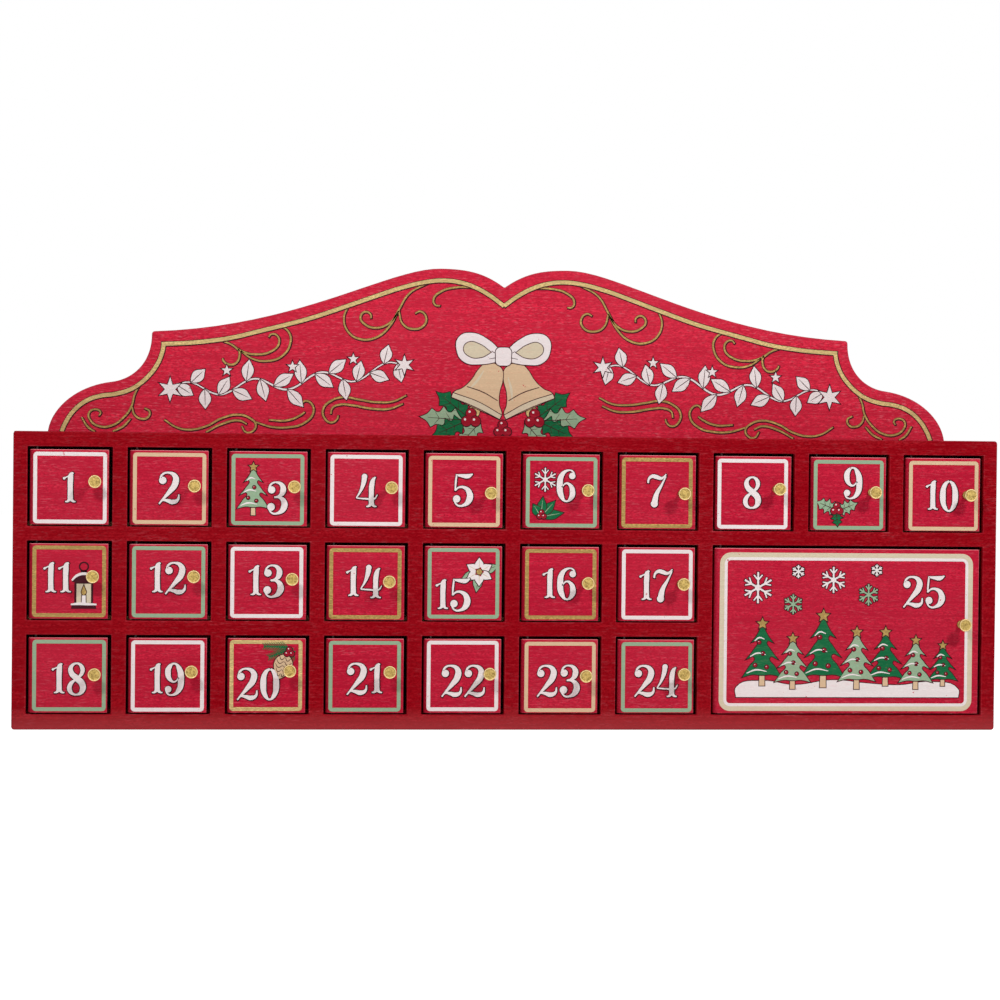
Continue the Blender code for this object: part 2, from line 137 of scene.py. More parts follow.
world = bpy.data.worlds.new("studio")
bpy.context.scene.world = world
world.use_nodes = True
world_tree = world.node_tree
background = world_tree.nodes["Background"]
background.inputs["Color"].default_value = (1, 1, 1, 1)
glow = add_node(world_tree, "ShaderNodeMix",
                [("Factor", seen_directly(world_tree)), ("A", WORLD_GLOW), ("B", 1.0)],
                data_type="FLOAT")
world_tree.links.new(glow.outputs["Result"], background.inputs["Strength"])
print("floor and world:", floor.name, world.name)

# %% [markdown]
# Two soft lamps stand in front, one to each side and well above, as the knobs' shadows tell: on
# the left doors the shadow falls almost straight down, and on the right doors it falls down to
# the left. Each lamp is near enough to be the brighter one on its own side.

# %% Lamps
LAMP_AIM = Vector((0.0, 0.0, 0.13))
LAMP_SIZE = 0.16


def soft_lamp(name, place, power):
    """A square lamp at its place, aimed at the box."""
    bpy.ops.object.light_add(type="AREA", location=place)
    lamp = bpy.context.object
    lamp.name = name
    lamp.data.size = LAMP_SIZE
    lamp.data.energy = power
    lamp.rotation_mode = "QUATERNION"
    lamp.rotation_quaternion = (Vector(place) - LAMP_AIM).to_track_quat("Z", "Y")
    return lamp


soft_lamp("lamp_left", (-0.50, -0.93, 0.76), 6.4)
soft_lamp("lamp_right", (0.677, -0.93, 0.86), 9.1)

# %% [markdown]
# ## Small tools
#
# Blender's operators act on what is selected, and the loaded model comes in selected, so each
# helper first clears the selection. A finished piece keeps its place in its mesh, with its own
# object at the origin, because the patterns of the paint are read in the object's coordinates.

# %% Tools for modelling
def select_only(*objects):
    bpy.ops.object.select_all(action="DESELECT")
    for obj in objects:
        obj.select_set(True)
    bpy.context.view_layer.objects.active = objects[0]


def apply_modifiers(obj):
    select_only(obj)
    for modifier in list(obj.modifiers):
        bpy.ops.object.modifier_apply(modifier=modifier.name)


def settle(obj):
    """Puts the object's place, turn and scale into its mesh."""
    select_only(obj)
    bpy.ops.object.transform_apply(location=True, rotation=True, scale=True)


def select_faces(obj, wanted):
    """In edit mode, selects the faces that the test accepts, and nothing else."""
    bpy.ops.mesh.select_mode(type="FACE")
    mesh = bmesh.from_edit_mesh(obj.data)
    mesh.normal_update()
    for face in mesh.faces:
        face.select_set(wanted(face))
    mesh.select_flush_mode()
    bmesh.update_edit_mesh(obj.data)


def select_edges(obj, wanted):
    bpy.ops.mesh.select_all(action="DESELECT")
    bpy.ops.mesh.select_mode(type="EDGE")
    mesh = bmesh.from_edit_mesh(obj.data)
    for edge in mesh.edges:
        edge.select_set(wanted(edge))
    bmesh.update_edit_mesh(obj.data)


def join_as(name, pieces):
    """Makes several objects one, under this name."""
    select_only(*pieces)
    if len(pieces) > 1:
        bpy.ops.object.join()
    joined = bpy.context.object
    joined.name = joined.data.name = name
    return joined


def copy_of(obj, name, step=(0, 0, 0)):
    """A copy with its own mesh, moved by a step."""
    twin = obj.copy()
    twin.data = obj.data.copy()
    twin.name = twin.data.name = name
    bpy.context.scene.collection.objects.link(twin)
    twin.data.transform(Matrix.Translation(step))
    return twin


def block(low, high):
    """A box between two corners, as the start of a piece."""
    bpy.ops.object.select_all(action="DESELECT")
    bpy.ops.mesh.primitive_cube_add(size=1, location=(low + high) / 2, scale=high - low)
    piece = bpy.context.object
    settle(piece)
    return piece


def round_edges(piece, width, segments=3, edge_slot=1):
    """Rounds the sharp edges. The new faces take the material in the edge slot, the worn one."""
    bevel = piece.modifiers.new("rounded_edges", "BEVEL")
    bevel.width = width
    bevel.segments = segments
    bevel.limit_method = "ANGLE"
    bevel.angle_limit = math.radians(50)
    bevel.material = edge_slot
    apply_modifiers(piece)
    bpy.ops.object.shade_smooth_by_angle(angle=math.radians(40))


# %% [markdown]
# ## Paint and wood
#
# The boards are plywood under thin red paint. The wood's pores show through it as short pale
# dashes that run along the board, thicker in some patches than in others, over long faint
# streaks and a fine mottle of lighter and darker flecks. One node group makes that pattern, and
# every paint uses it, so the grain of a door runs on through the white and gold prints, as it
# does on the real thing.

# %% Colours as they are seen, turned into the renderer's linear values
def seen_colour(red, green, blue):
    """A colour as a screen shows it, 0 to 255, as linear values."""
    linear = [((c / 255 + 0.055) / 1.055) ** 2.4 if c > 10 else c / 255 / 12.92
              for c in (red, green, blue)]
    return (*linear, 1.0)


def shaded(colour, share):
    """A colour with its light multiplied."""
    return (*(c * share for c in colour[:3]), 1.0)


def noise(tree, place, scale, detail=2.0, roughness=0.5):
    """Clouds at a place, as values around 0.5."""
    return add_node(tree, "ShaderNodeTexNoise",
                    [("Vector", place), ("Scale", scale), ("Detail", detail),
                     ("Roughness", roughness)]).outputs["Fac"]


def ramp(tree, value, start, end, low=0.0, high=1.0, **settings):
    """A value from start to end, turned into one from low to high."""
    return add_node(tree, "ShaderNodeMapRange",
                    [("Value", value), ("From Min", start), ("From Max", end), ("To Min", low),
                     ("To Max", high)], **settings).outputs["Result"]


def mix_colour(tree, factor, first, second):
    return add_node(tree, "ShaderNodeMix", [("Factor", factor), (6, first), (7, second)],
                    data_type="RGBA").outputs[2]


def new_group(name, inputs, outputs):
    """An empty node group with named sockets, and its input and output nodes."""
    group = bpy.data.node_groups.new(name, "ShaderNodeTree")
    for socket, kind, value in inputs:
        made = group.interface.new_socket(socket, in_out="INPUT", socket_type=kind)
        if value is not None:
            made.default_value = value
    for socket, kind in outputs:
        group.interface.new_socket(socket, in_out="OUTPUT", socket_type=kind)
    return group, group.nodes.new("NodeGroupInput"), group.nodes.new("NodeGroupOutput")


print("a middle grey's light:", round(seen_colour(128, 128, 128)[0], 3))

# %% The grain group
DASHES_PER_METRE = 210
PATCHES_PER_METRE = 15
STREAKS_PER_METRE = 16
MOTTLES_PER_METRE = 430
MOTTLE_STRETCH = 0.4

grain_group, grain_in, grain_out = new_group(
    "wood_grain",
    [("Place", "NodeSocketVector", None), ("Stretch", "NodeSocketVector", (1.0, 6.0, 6.0))],
    [("Dashes", "NodeSocketFloat"), ("Streaks", "NodeSocketFloat"), ("Relief", "NodeSocketFloat"),
     ("Mottle", "NodeSocketFloat")])


def grain_noise(place, scale, detail, low, high):
    """Noise at a place, spread so that low becomes 0 and high becomes 1."""
    clouds = noise(grain_group, place, scale, detail, 0.55)
    return ramp(grain_group, clouds, low, high, interpolation_type="SMOOTHSTEP")


def grain_maths(operation, *sources, kind="ShaderNodeMath"):
    return add_node(grain_group, kind, list(enumerate(sources)), operation=operation).outputs[0]


grain_place = grain_in.outputs["Place"]
stretch = grain_in.outputs["Stretch"]
long_way = grain_maths("MULTIPLY", grain_place, stretch, kind="ShaderNodeVectorMath")
longer_way = grain_maths("MULTIPLY", long_way, stretch, kind="ShaderNodeVectorMath")
half_long_way = grain_maths("MULTIPLY_ADD", long_way, (MOTTLE_STRETCH,) * 3, grain_place,
                            kind="ShaderNodeVectorMath")
dash_mask = grain_noise(long_way, DASHES_PER_METRE, 3.0, 0.50, 0.82)
mottle = grain_noise(half_long_way, MOTTLES_PER_METRE, 1.0, 0.30, 0.70)
patch_mask = grain_noise(grain_place, PATCHES_PER_METRE, 3.0, 0.36, 0.66)
streak_mask = grain_noise(longer_way, STREAKS_PER_METRE, 5.0, 0.30, 0.70)
dashes = grain_maths("MULTIPLY", dash_mask, grain_maths("MULTIPLY_ADD", patch_mask, 0.8, 0.5))
relief = grain_maths("ADD", grain_maths("MULTIPLY", streak_mask, 0.5), dash_mask)
for socket, source in (("Dashes", dashes), ("Streaks", streak_mask), ("Relief", relief),
                       ("Mottle", mottle)):
    grain_group.links.new(source, grain_out.inputs[socket])
print("group:", grain_group.name, len(grain_group.nodes), "nodes")

# %% [markdown]
# A paint is made from its colour and from how much of the wood it lets through. The print
# colours lie thicker than the red, so they get fewer dashes and a few chips, where the red
# shows. Numbers that are the same all over, such as the gloss, are set on the shader itself.

# %% The painted wood material
ALONG_WIDTH = (1.0, 6.0, 6.0)
ALONG_DEPTH = (6.0, 1.0, 6.0)
TINT_FLOOR = 0.2
PORE_HAZE = 0.03
WEAR_PER_METRE = 9.0
WEAR_PALENESS = 0.16
FLOOR_LIGHT_HEIGHT = 14 * MM
FLOOR_LIGHT_SHARE = 0.45
CHIPS_PER_METRE = 420.0
CHIP_START = 0.72
CHIP_FULL = 0.74
GRAIN_DEPTH = 0.12 * MM


def painted_wood(name, colour, pores, dash_share=0.6, shade=0.82, stretch=ALONG_WIDTH, roughness=0.5,
                 chip_level=0.0, chip_colour=None, gloss=0.2, bump=0.35, wear=0.22, rubbed_and_lit_top=None,
                 floor_lit_foot=None, speckle=0.18):
    """Paint over wood: pale pores, long streaks, fine flecks and, on prints, small chips.

    The paint can be paler where it faces up, partly rubbed and partly a painted highlight of the
    light from above, and paler near the floor, as painted light bounced up from the white floor.
    """
    material = bpy.data.materials.new(name)
    material.use_nodes = True
    tree = material.node_tree
    shader = tree.nodes["Principled BSDF"]
    shader.inputs["Specular IOR Level"].default_value = gloss
    brightest = max(colour[:3])
    tint = [TINT_FLOOR + (1 - TINT_FLOOR) * c / brightest for c in colour[:3]]
    shader.inputs["Specular Tint"].default_value = (*tint, 1.0)
    place = add_node(tree, "ShaderNodeTexCoord").outputs["Object"]
    grain = add_node(tree, "ShaderNodeGroup", node_tree=grain_group)
    tree.links.new(place, grain.inputs["Place"])
    grain.inputs["Stretch"].default_value = stretch
    light = [min(c, 1.0) * (1 - PORE_HAZE) + pore * PORE_HAZE
             for c, pore in zip(shaded(colour, 1 + speckle)[:3], pores)]
    mottled = mix_colour(tree, grain.outputs["Mottle"], shaded(colour, 1 - speckle), (*light, 1.0))
    streaked = mix_colour(tree, grain.outputs["Streaks"], shaded(colour, shade), mottled)
    worn = ramp(tree, noise(tree, place, WEAR_PER_METRE), 0.35, 0.7, high=wear)
    clouded = mix_colour(tree, worn, streaked, mix_colour(tree, WEAR_PALENESS, colour, pores))
    share = add_node(tree, "ShaderNodeMath", [(0, grain.outputs["Dashes"]), (1, dash_share)],
                     operation="MULTIPLY").outputs[0]
    final = mix_colour(tree, share, clouded, pores)
    # Partly wear, partly painted highlight: faces that point up are mixed toward the paler colour, as if
    # lit from above.
    if rubbed_and_lit_top:
        facing = add_node(tree, "ShaderNodeSeparateXYZ",
                          [(0, add_node(tree, "ShaderNodeNewGeometry").outputs["Normal"])])
        final = mix_colour(tree, ramp(tree, facing.outputs["Z"], 0.02, 0.3), final, rubbed_and_lit_top)
    # Painted light: the paint turns paler toward the floor, as light bounced up from the white floor.
    if floor_lit_foot:
        height = add_node(tree, "ShaderNodeSeparateXYZ", [(0, place)]).outputs["Z"]
        floor_light = ramp(tree, height, FLOOR_LIGHT_HEIGHT, 0.0, high=FLOOR_LIGHT_SHARE)
        final = mix_colour(tree, floor_light, final, floor_lit_foot)
    if chip_colour:
        chips = noise(tree, place, CHIPS_PER_METRE, 3.0, 0.7)
        holes = ramp(tree, chips, CHIP_START - chip_level, CHIP_FULL - chip_level)
        final = mix_colour(tree, holes, final, chip_colour)
    tree.links.new(final, shader.inputs["Base Color"])
    rough = ramp(tree, grain.outputs["Streaks"], 0.0, 1.0, roughness + 0.10, roughness - 0.06)
    tree.links.new(rough, shader.inputs["Roughness"])
    raised = add_node(tree, "ShaderNodeBump",
                      [("Height", grain.outputs["Relief"]), ("Strength", bump),
                       ("Distance", GRAIN_DEPTH)])
    tree.links.new(raised.outputs["Normal"], shader.inputs["Normal"])
    return material


print("grain along the width:", ALONG_WIDTH, "and along the depth:", ALONG_DEPTH)

# %% Red paints of the frame, the doors and the header, each with its worn edge
PALE_PORES = seen_colour(222, 128, 140)
WORN_EDGE = seen_colour(196, 92, 100)
FRAME_RED = seen_colour(141, 0, 14)
DOOR_RED = seen_colour(180, 18, 48)
HEADER_RED = seen_colour(194, 26, 54)

# The frame's paler foot is painted light bounced up from the white floor.
frame_paint = painted_wood("frame_paint", FRAME_RED, PALE_PORES, dash_share=0.10, gloss=0.06, wear=0.05,
                           floor_lit_foot=seen_colour(176, 74, 78), speckle=0.27)
side_paint = painted_wood("side_paint", FRAME_RED, PALE_PORES, dash_share=0.10, gloss=0.06, wear=0.05,
                          stretch=ALONG_DEPTH, speckle=0.27)
frame_edge = painted_wood("frame_edge", seen_colour(146, 12, 27), WORN_EDGE, dash_share=0.5, gloss=0.06)
door_paint = painted_wood("door_paint", DOOR_RED, PALE_PORES, dash_share=0.24, speckle=0.27)
# Door edges turn paler where they face up: partly wear and partly a painted highlight of the light from
# above.
door_edge = painted_wood("door_edge", seen_colour(184, 46, 66), seen_colour(228, 150, 150),
                         dash_share=0.8, rubbed_and_lit_top=seen_colour(232, 134, 142))
header_paint = painted_wood("header_paint", HEADER_RED, PALE_PORES, dash_share=0.46, speckle=0.30)
header_edge = painted_wood("header_edge", seen_colour(186, 40, 60), WORN_EDGE, dash_share=1.0)
print("red paints:", [m.name for m in bpy.data.materials if m.name.endswith(("_paint", "_edge"))])

# %% Print colours
white_print = painted_wood("white_print", seen_colour(226, 217, 216), seen_colour(214, 160, 162),
                           dash_share=0.24, shade=0.94, chip_level=0.03, chip_colour=DOOR_RED,
                           speckle=0.06)
cream_print = painted_wood("cream_print", seen_colour(204, 192, 166), seen_colour(206, 150, 130),
                           dash_share=0.30, shade=0.93, chip_colour=DOOR_RED, speckle=0.07)
tan_print = painted_wood("tan_print", seen_colour(208, 180, 146), seen_colour(206, 130, 110),
                         dash_share=0.30, shade=0.93, chip_level=0.03, chip_colour=DOOR_RED,
                         speckle=0.07)
sage_print = painted_wood("sage_print", seen_colour(140, 168, 138), seen_colour(190, 130, 120),
                          dash_share=0.30, shade=0.92, chip_colour=DOOR_RED, speckle=0.08)
green_print = painted_wood("green_print", seen_colour(14, 94, 56), seen_colour(96, 130, 90),
                           dash_share=0.45, shade=0.85, chip_colour=DOOR_RED, speckle=0.15)
gold_print = painted_wood("gold_print", seen_colour(176, 146, 86), seen_colour(124, 92, 40),
                          dash_share=0.95, shade=0.70, roughness=0.42, gloss=0.4, speckle=0.45)
bright_gold_print = painted_wood("bright_gold_print", seen_colour(206, 180, 122), seen_colour(150, 118, 70),
                                 dash_share=0.8, shade=0.74, roughness=0.42, gloss=0.5,
                                 speckle=0.35)
berry_print = painted_wood("berry_print", seen_colour(150, 22, 40), seen_colour(196, 70, 84),
                           dash_share=0.4)
ink_print = painted_wood("ink_print", seen_colour(44, 16, 22), seen_colour(120, 40, 48), dash_share=0.30)
print("print colours:", [m.name for m in bpy.data.materials if m.name.endswith("_print")])

# %% [markdown]
# Behind the painted faces the compartments are bare plywood: pale birch with grain that runs
# along each board, and a matt surface.

# %% Bare plywood
inside_wood = painted_wood("inside_wood", seen_colour(206, 172, 128), seen_colour(150, 106, 66),
                           dash_share=0.8, shade=0.80, roughness=0.72, gloss=0.15)
for node_name in ("divider_grid", "lower_shelf", "short_divider_1", "short_divider_2"):
    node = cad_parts[node_name]
    for slot in node.material_slots:
        slot.material = inside_wood
    print("plywood on", node_name)

# %% [markdown]
# The knobs are small turned brass, tumbled rather than polished: yellow, with cloudy tarnish and
# a few dark specks. The rim of each head, which stands out furthest from the door, is painted a
# paler brass as a painted highlight. The pins are steel wire, painted much darker than bare steel
# as painted shade of the narrow gaps they sit in.

# %% Metals
RIM_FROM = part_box("door_01")[0].y - 11.12 * MM
RIM_TO = RIM_FROM - 0.16 * MM
RIM_SHARE = 0.85
TARNISH_PER_METRE = 900.0
SPECKS_PER_METRE = 1500.0
SPECK_SHADE = 0.25
DENT_DEPTH = 0.2 * MM


def worn_metal(name, colour, tarnish, roughness, spots, rim_highlight=None):
    """Metal with cloudy tarnish, dark specks and, where given, a paler rim furthest out as a painted
    highlight.
    """
    material = bpy.data.materials.new(name)
    material.use_nodes = True
    tree = material.node_tree
    shader = tree.nodes["Principled BSDF"]
    shader.inputs["Metallic"].default_value = 1.0
    place = add_node(tree, "ShaderNodeTexCoord").outputs["Object"]
    clouds = noise(tree, place, TARNISH_PER_METRE, 4.0, 0.7)
    clouded = mix_colour(tree, ramp(tree, clouds, 0.42, 0.68), colour, tarnish)
    specks = ramp(tree, noise(tree, place, SPECKS_PER_METRE), 0.66, 0.72, high=spots)
    final = mix_colour(tree, specks, clouded, shaded(tarnish, SPECK_SHADE))
    # Painted highlight: the rim furthest from the door is mixed toward a paler brass.
    if rim_highlight:
        depth = add_node(tree, "ShaderNodeSeparateXYZ", [(0, place)]).outputs["Y"]
        rim = ramp(tree, depth, RIM_FROM, RIM_TO, high=RIM_SHARE)
        final = mix_colour(tree, rim, final, rim_highlight)
    tree.links.new(final, shader.inputs["Base Color"])
    rough = ramp(tree, clouds, 0.0, 1.0, roughness - 0.08, roughness + 0.16)
    tree.links.new(rough, shader.inputs["Roughness"])
    dents = add_node(tree, "ShaderNodeBump",
                     [("Height", clouds), ("Strength", 0.9), ("Distance", DENT_DEPTH)])
    tree.links.new(dents.outputs["Normal"], shader.inputs["Normal"])
    return material


# The knobs' paler rim colour is a painted highlight.
brass = worn_metal("knob_brass", seen_colour(178, 153, 90), seen_colour(112, 90, 46), 0.5, 0.9,
                   rim_highlight=seen_colour(204, 181, 134))
# Painted shade: the pin steel is much darker than bare steel, because the pins sit in the dark gaps.
steel = worn_metal("pin_steel", seen_colour(84, 74, 72), seen_colour(56, 50, 48), 0.5, 0.3)
print("metals:", brass.name, steel.name)

# %% [markdown]
# ## The case
#
# The face frame is one sheet of plywood with the openings sawn out, so it is made as one: a
# plane as large as the box's front, cut along every edge of every opening, with the cells of
# the openings taken out. Then it gets its thickness, round corners and softened edges. The
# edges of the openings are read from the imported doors, so the frame fits them.

# %% The places of the doors and their openings
PIN_IN_RAIL = 3.0 * MM
GAP_AT_HINGE = 1.4 * MM
GAP_AT_KNOB = 2.2 * MM
GAP_ABOVE = 1.8 * MM
GAP_BELOW = 0.9 * MM
DOOR_COUNT = 25
SMALL_DOORS = DOOR_COUNT - 1


def door_box(number):
    """Lowest and highest corner of a door's slab, without the pins that its node also holds."""
    low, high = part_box(f"door_{number:02d}")
    low.z += PIN_IN_RAIL + GAP_BELOW
    high.z -= PIN_IN_RAIL + GAP_ABOVE
    return low, high


def opening_box(number):
    """Left, right, low and high edge of a door's opening."""
    low, high = door_box(number)
    return (low.x - GAP_AT_HINGE, high.x + GAP_AT_KNOB, low.z - GAP_BELOW, high.z + GAP_ABOVE)


doors = {number: door_box(number) for number in range(1, DOOR_COUNT + 1)}
openings = [opening_box(number) for number in doors]
print("small door:", [round(side / MM, 1) for side in doors[1][1] - doors[1][0]], "mm")

# %% Face frame
FRAME_CORNER = 1.8 * MM
FRAME_EDGE = 0.6 * MM


def cut_lines(obj, places, normal):
    """Cuts a flat mesh across at each place along an axis."""
    for place in places:
        bpy.ops.mesh.select_all(action="SELECT")
        bpy.ops.mesh.bisect(plane_co=Vector(normal) * place, plane_no=normal)


def make_face_frame():
    low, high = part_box("face_frame")
    bpy.ops.object.select_all(action="DESELECT")
    bpy.ops.mesh.primitive_plane_add(size=1, rotation=(math.radians(90), 0, 0),
                                     location=((low.x + high.x) / 2, low.y, (low.z + high.z) / 2))
    sheet = bpy.context.object
    sheet.scale = (high.x - low.x, high.z - low.z, 1)
    settle(sheet)
    bpy.ops.object.mode_set(mode="EDIT")
    cut_lines(sheet, sorted({round(x, 5) for box in openings for x in box[:2]}), (1, 0, 0))
    cut_lines(sheet, sorted({round(z, 5) for box in openings for z in box[2:]}), (0, 0, 1))

    def in_opening(face):
        middle = face.calc_center_median()
        return any(x0 < middle.x < x1 and z0 < middle.z < z1 for x0, x1, z0, z1 in openings)

    select_faces(sheet, in_opening)
    bpy.ops.mesh.delete(type="FACE")
    bpy.ops.mesh.select_mode(type="VERT")
    mesh = bmesh.from_edit_mesh(sheet.data)
    for corner in mesh.verts:
        corner.select_set(len(corner.link_faces) == 1)
    bmesh.update_edit_mesh(sheet.data)
    bpy.ops.mesh.bevel(offset=FRAME_CORNER, segments=6, affect="VERTICES")
    bpy.ops.mesh.select_all(action="SELECT")
    bpy.ops.mesh.dissolve_limited(angle_limit=math.radians(1))
    bpy.ops.mesh.select_all(action="SELECT")
    bpy.ops.mesh.extrude_region_move(TRANSFORM_OT_translate={"value": (0, high.y - low.y, 0)})
    bpy.ops.mesh.select_all(action="SELECT")
    bpy.ops.mesh.normals_make_consistent(inside=False)
    bpy.ops.object.mode_set(mode="OBJECT")
    sheet.name = sheet.data.name = "sawn_face_frame"
    sheet.data.materials.append(frame_paint)
    sheet.data.materials.append(frame_edge)
    round_edges(sheet, FRAME_EDGE)
    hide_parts("face_frame")
    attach(sheet, "case")
    return sheet


face_frame = make_face_frame()
print("face frame:", len(face_frame.data.polygons), "faces")

# %% [markdown]
# The side, top and bottom boards close the box behind the frame. Each is a plank with softened
# edges at its packed place. The paint's grain runs along the depth on the two sides, and along
# the width on the top and bottom.

# %% Outer boards
BOARD_EDGE = 0.5 * MM


def make_board(name, node_name, paint):
    board = block(*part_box(node_name))
    board.name = board.data.name = name
    board.data.materials.append(paint)
    board.data.materials.append(frame_edge)
    round_edges(board, BOARD_EDGE)
    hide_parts(node_name)
    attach(board, "case")
    return board


boards = [make_board("plank_left", "left_side", side_paint),
          make_board("plank_right", "right_side", side_paint),
          make_board("plank_top", "top_board", frame_paint),
          make_board("plank_bottom", "bottom_board", frame_paint)]
print("boards:", [board.name for board in boards])

# %% [markdown]
# ## The header
#
# The back board rises behind the box as a scrolled header, sawn from one sheet: a rounded
# shoulder, a small step, a long rising sweep and two crests that meet in a notch. Such an
# outline is drawn best with a handful of curve points and their handles. Only the left half is
# given, and the right half mirrors it.

# %% Header outline
BOX_WIDTH = 600.0
BOX_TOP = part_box("top_board")[1].z
MIDDLE = BOX_WIDTH / 2

# Point, handle before and handle after, in millimetres from the box's left edge and its top
HEADER_KNOTS = [
    ((18.0, 0.0), (18.0, 0.0), (19.5, 13.1)),
    ((57.0, 31.3), (33.3, 28.2), (68.6, 32.8)),
    ((81.2, 61.0), (81.2, 42.1), (81.2, 62.0)),
    ((83.0, 62.8), (82.0, 62.8), (171.3, 66.7)),
    ((259.6, 104.3), (227.8, 104.3), (275.8, 104.3)),
    ((300.0, 92.9), (287.1, 102.5), (312.9, 102.5)),
]
HEADER_STEPS = 20
HEADER_EDGE = 0.8 * MM


def header_point(x, height):
    """A place on the header, from millimetres to the frame's X and Z."""
    return (x - MIDDLE) * MM, BOX_TOP + height * MM


def make_header():
    low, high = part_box("header_back_board")
    foot = -BOX_TOP / MM
    square = [((0.0, foot),) * 3, ((0.0, 0.0),) * 3]
    left = square + HEADER_KNOTS
    right = [tuple((BOX_WIDTH - x, height) for x, height in (point, after, before))
             for point, before, after in reversed(left[:-1])]
    bpy.ops.object.select_all(action="DESELECT")
    bpy.ops.curve.primitive_bezier_circle_add()
    outline = bpy.context.object
    line = outline.data
    line.dimensions = "2D"
    line.fill_mode = "BOTH"
    line.extrude = (high.y - low.y) / 2
    line.resolution_u = line.render_resolution_u = HEADER_STEPS
    line.splines.clear()
    spline = line.splines.new("BEZIER")
    spline.bezier_points.add(len(left + right) - 1)
    spline.use_cyclic_u = True
    for knot, places in zip(spline.bezier_points, left + right):
        knot.handle_left_type = knot.handle_right_type = "FREE"
        knot.co, knot.handle_left, knot.handle_right = [(*header_point(*place), 0) for place in places]
    outline.rotation_euler = (math.radians(90), 0, 0)
    outline.location = (0, (low.y + high.y) / 2, 0)
    bpy.ops.object.convert(target="MESH")
    board = bpy.context.object
    settle(board)
    bpy.ops.object.mode_set(mode="EDIT")
    bpy.ops.mesh.select_all(action="SELECT")
    bpy.ops.mesh.remove_doubles(threshold=0.02 * MM)
    bpy.ops.mesh.dissolve_limited(angle_limit=math.radians(0.4))
    bpy.ops.mesh.select_all(action="SELECT")
    bpy.ops.mesh.normals_make_consistent(inside=False)
    bpy.ops.object.mode_set(mode="OBJECT")
    board.name = board.data.name = "scrolled_back_board"
    board.data.materials.clear()
    board.data.materials.append(header_paint)
    board.data.materials.append(header_edge)
    round_edges(board, HEADER_EDGE)
    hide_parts("header_back_board")
    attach(board, "case")
    return board


header = make_header()
print("header:", len(header.data.polygons), "faces")

# %% [markdown]
# ## Doors, pins and knobs
#
# A door is a slab of plywood whose left edge is a full half round about its pins, so that it
# can turn in its opening. All 24 small doors are alike: one is modelled and the others are
# copies of it. The large one is made the same way at its own size.

# %% Door slabs
DOOR_EDGE = 0.8 * MM
BULLNOSE_SEGMENTS = 14
BULLNOSE_SHARE = 0.998


def make_slab(number):
    """A door's slab. Its half round is a hair under full, so that its two sides don't meet."""
    low, high = doors[number]
    slab = block(low, high)
    half = (high.y - low.y) / 2
    bpy.ops.object.mode_set(mode="EDIT")
    select_edges(slab, lambda edge: all(abs(v.co.x - low.x) < half / 2 for v in edge.verts)
                 and abs(edge.verts[0].co.y - edge.verts[1].co.y) < half)
    bpy.ops.mesh.bevel(offset=half * BULLNOSE_SHARE, segments=BULLNOSE_SEGMENTS, affect="EDGES")
    bpy.ops.object.mode_set(mode="OBJECT")
    slab.data.materials.append(door_paint)
    slab.data.materials.append(door_edge)
    round_edges(slab, DOOR_EDGE)
    return slab


def hang(piece, number, node_name=None):
    """Lets a piece ride on its door's body."""
    if node_name:
        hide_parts(node_name)
    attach(piece, f"leaf_{number:02d}")


small_slab = make_slab(1)
large_slab = make_slab(DOOR_COUNT)
for number, (low, _) in doors.items():
    model = large_slab if number == DOOR_COUNT else small_slab
    model_low = doors[DOOR_COUNT if number == DOOR_COUNT else 1][0]
    slab = copy_of(model, f"slab_{number:02d}", low - model_low)
    hang(slab, number, f"door_{number:02d}")
bpy.data.objects.remove(small_slab)
bpy.data.objects.remove(large_slab)
print("doors:", len(doors))

# %% [markdown]
# The pins are pieces of steel wire, one up and one down at each hinge, from a little inside the
# door to their seats in the rails. Their cut ends are slightly rounded.

# %% Hinge pins
PIN_RADIUS = 0.8 * MM
PIN_EDGE = 0.2 * MM
PIN_IN_DOOR = 4.0 * MM


def make_pin(x, y, start, end):
    bpy.ops.object.select_all(action="DESELECT")
    bpy.ops.mesh.primitive_cylinder_add(vertices=20, radius=PIN_RADIUS, depth=end - start,
                                        location=(x, y, (start + end) / 2))
    pin = bpy.context.object
    settle(pin)
    pin.data.materials.append(steel)
    round_edges(pin, PIN_EDGE, segments=2, edge_slot=0)
    return pin


for number, (low, high) in doors.items():
    axis_y = (low.y + high.y) / 2
    axis_x = low.x + (high.y - low.y) / 2
    lower = make_pin(axis_x, axis_y, low.z - GAP_BELOW - PIN_IN_RAIL, low.z + PIN_IN_DOOR)
    upper = make_pin(axis_x, axis_y, high.z - PIN_IN_DOOR, high.z + GAP_ABOVE + PIN_IN_RAIL)
    pins = join_as(f"hinge_pins_{number:02d}", [lower, upper])
    hang(pins, number)
print("pins: 2 on each of", len(doors), "doors")

# %% [markdown]
# A knob is turned on a lathe, so its half profile is drawn once and swept round its axis. From
# the door outwards it has a small foot, a cove, a slim neck, and a head with a rounded rim. The
# head's face has a shallow groove round a low dome, which is what gives it its ring of light.

# %% Turned knobs
# Radius and height above the door's face, in millimetres, from the face of the head inwards
KNOB_PROFILE = [
    (0.0, 11.1), (1.2, 11.08), (2.1, 11.0), (2.6, 10.92), (2.9, 10.94), (3.12, 11.1), (3.28, 11.3),
    (3.5, 11.38), (3.7, 11.32), (3.84, 11.1), (3.9, 10.7), (3.88, 10.2), (3.76, 9.75),
    (3.4, 9.3), (2.65, 8.85), (2.0, 8.45), (1.62, 7.9), (1.5, 7.2), (1.45, 5.2), (1.5, 3.4), (1.6, 2.6),
    (1.85, 2.0), (2.2, 1.6), (2.55, 1.35), (2.6, 1.1), (2.6, 0.3), (2.5, 0.1), (2.2, 0.0), (0.0, 0.0),
]
KNOB_STEPS = 40


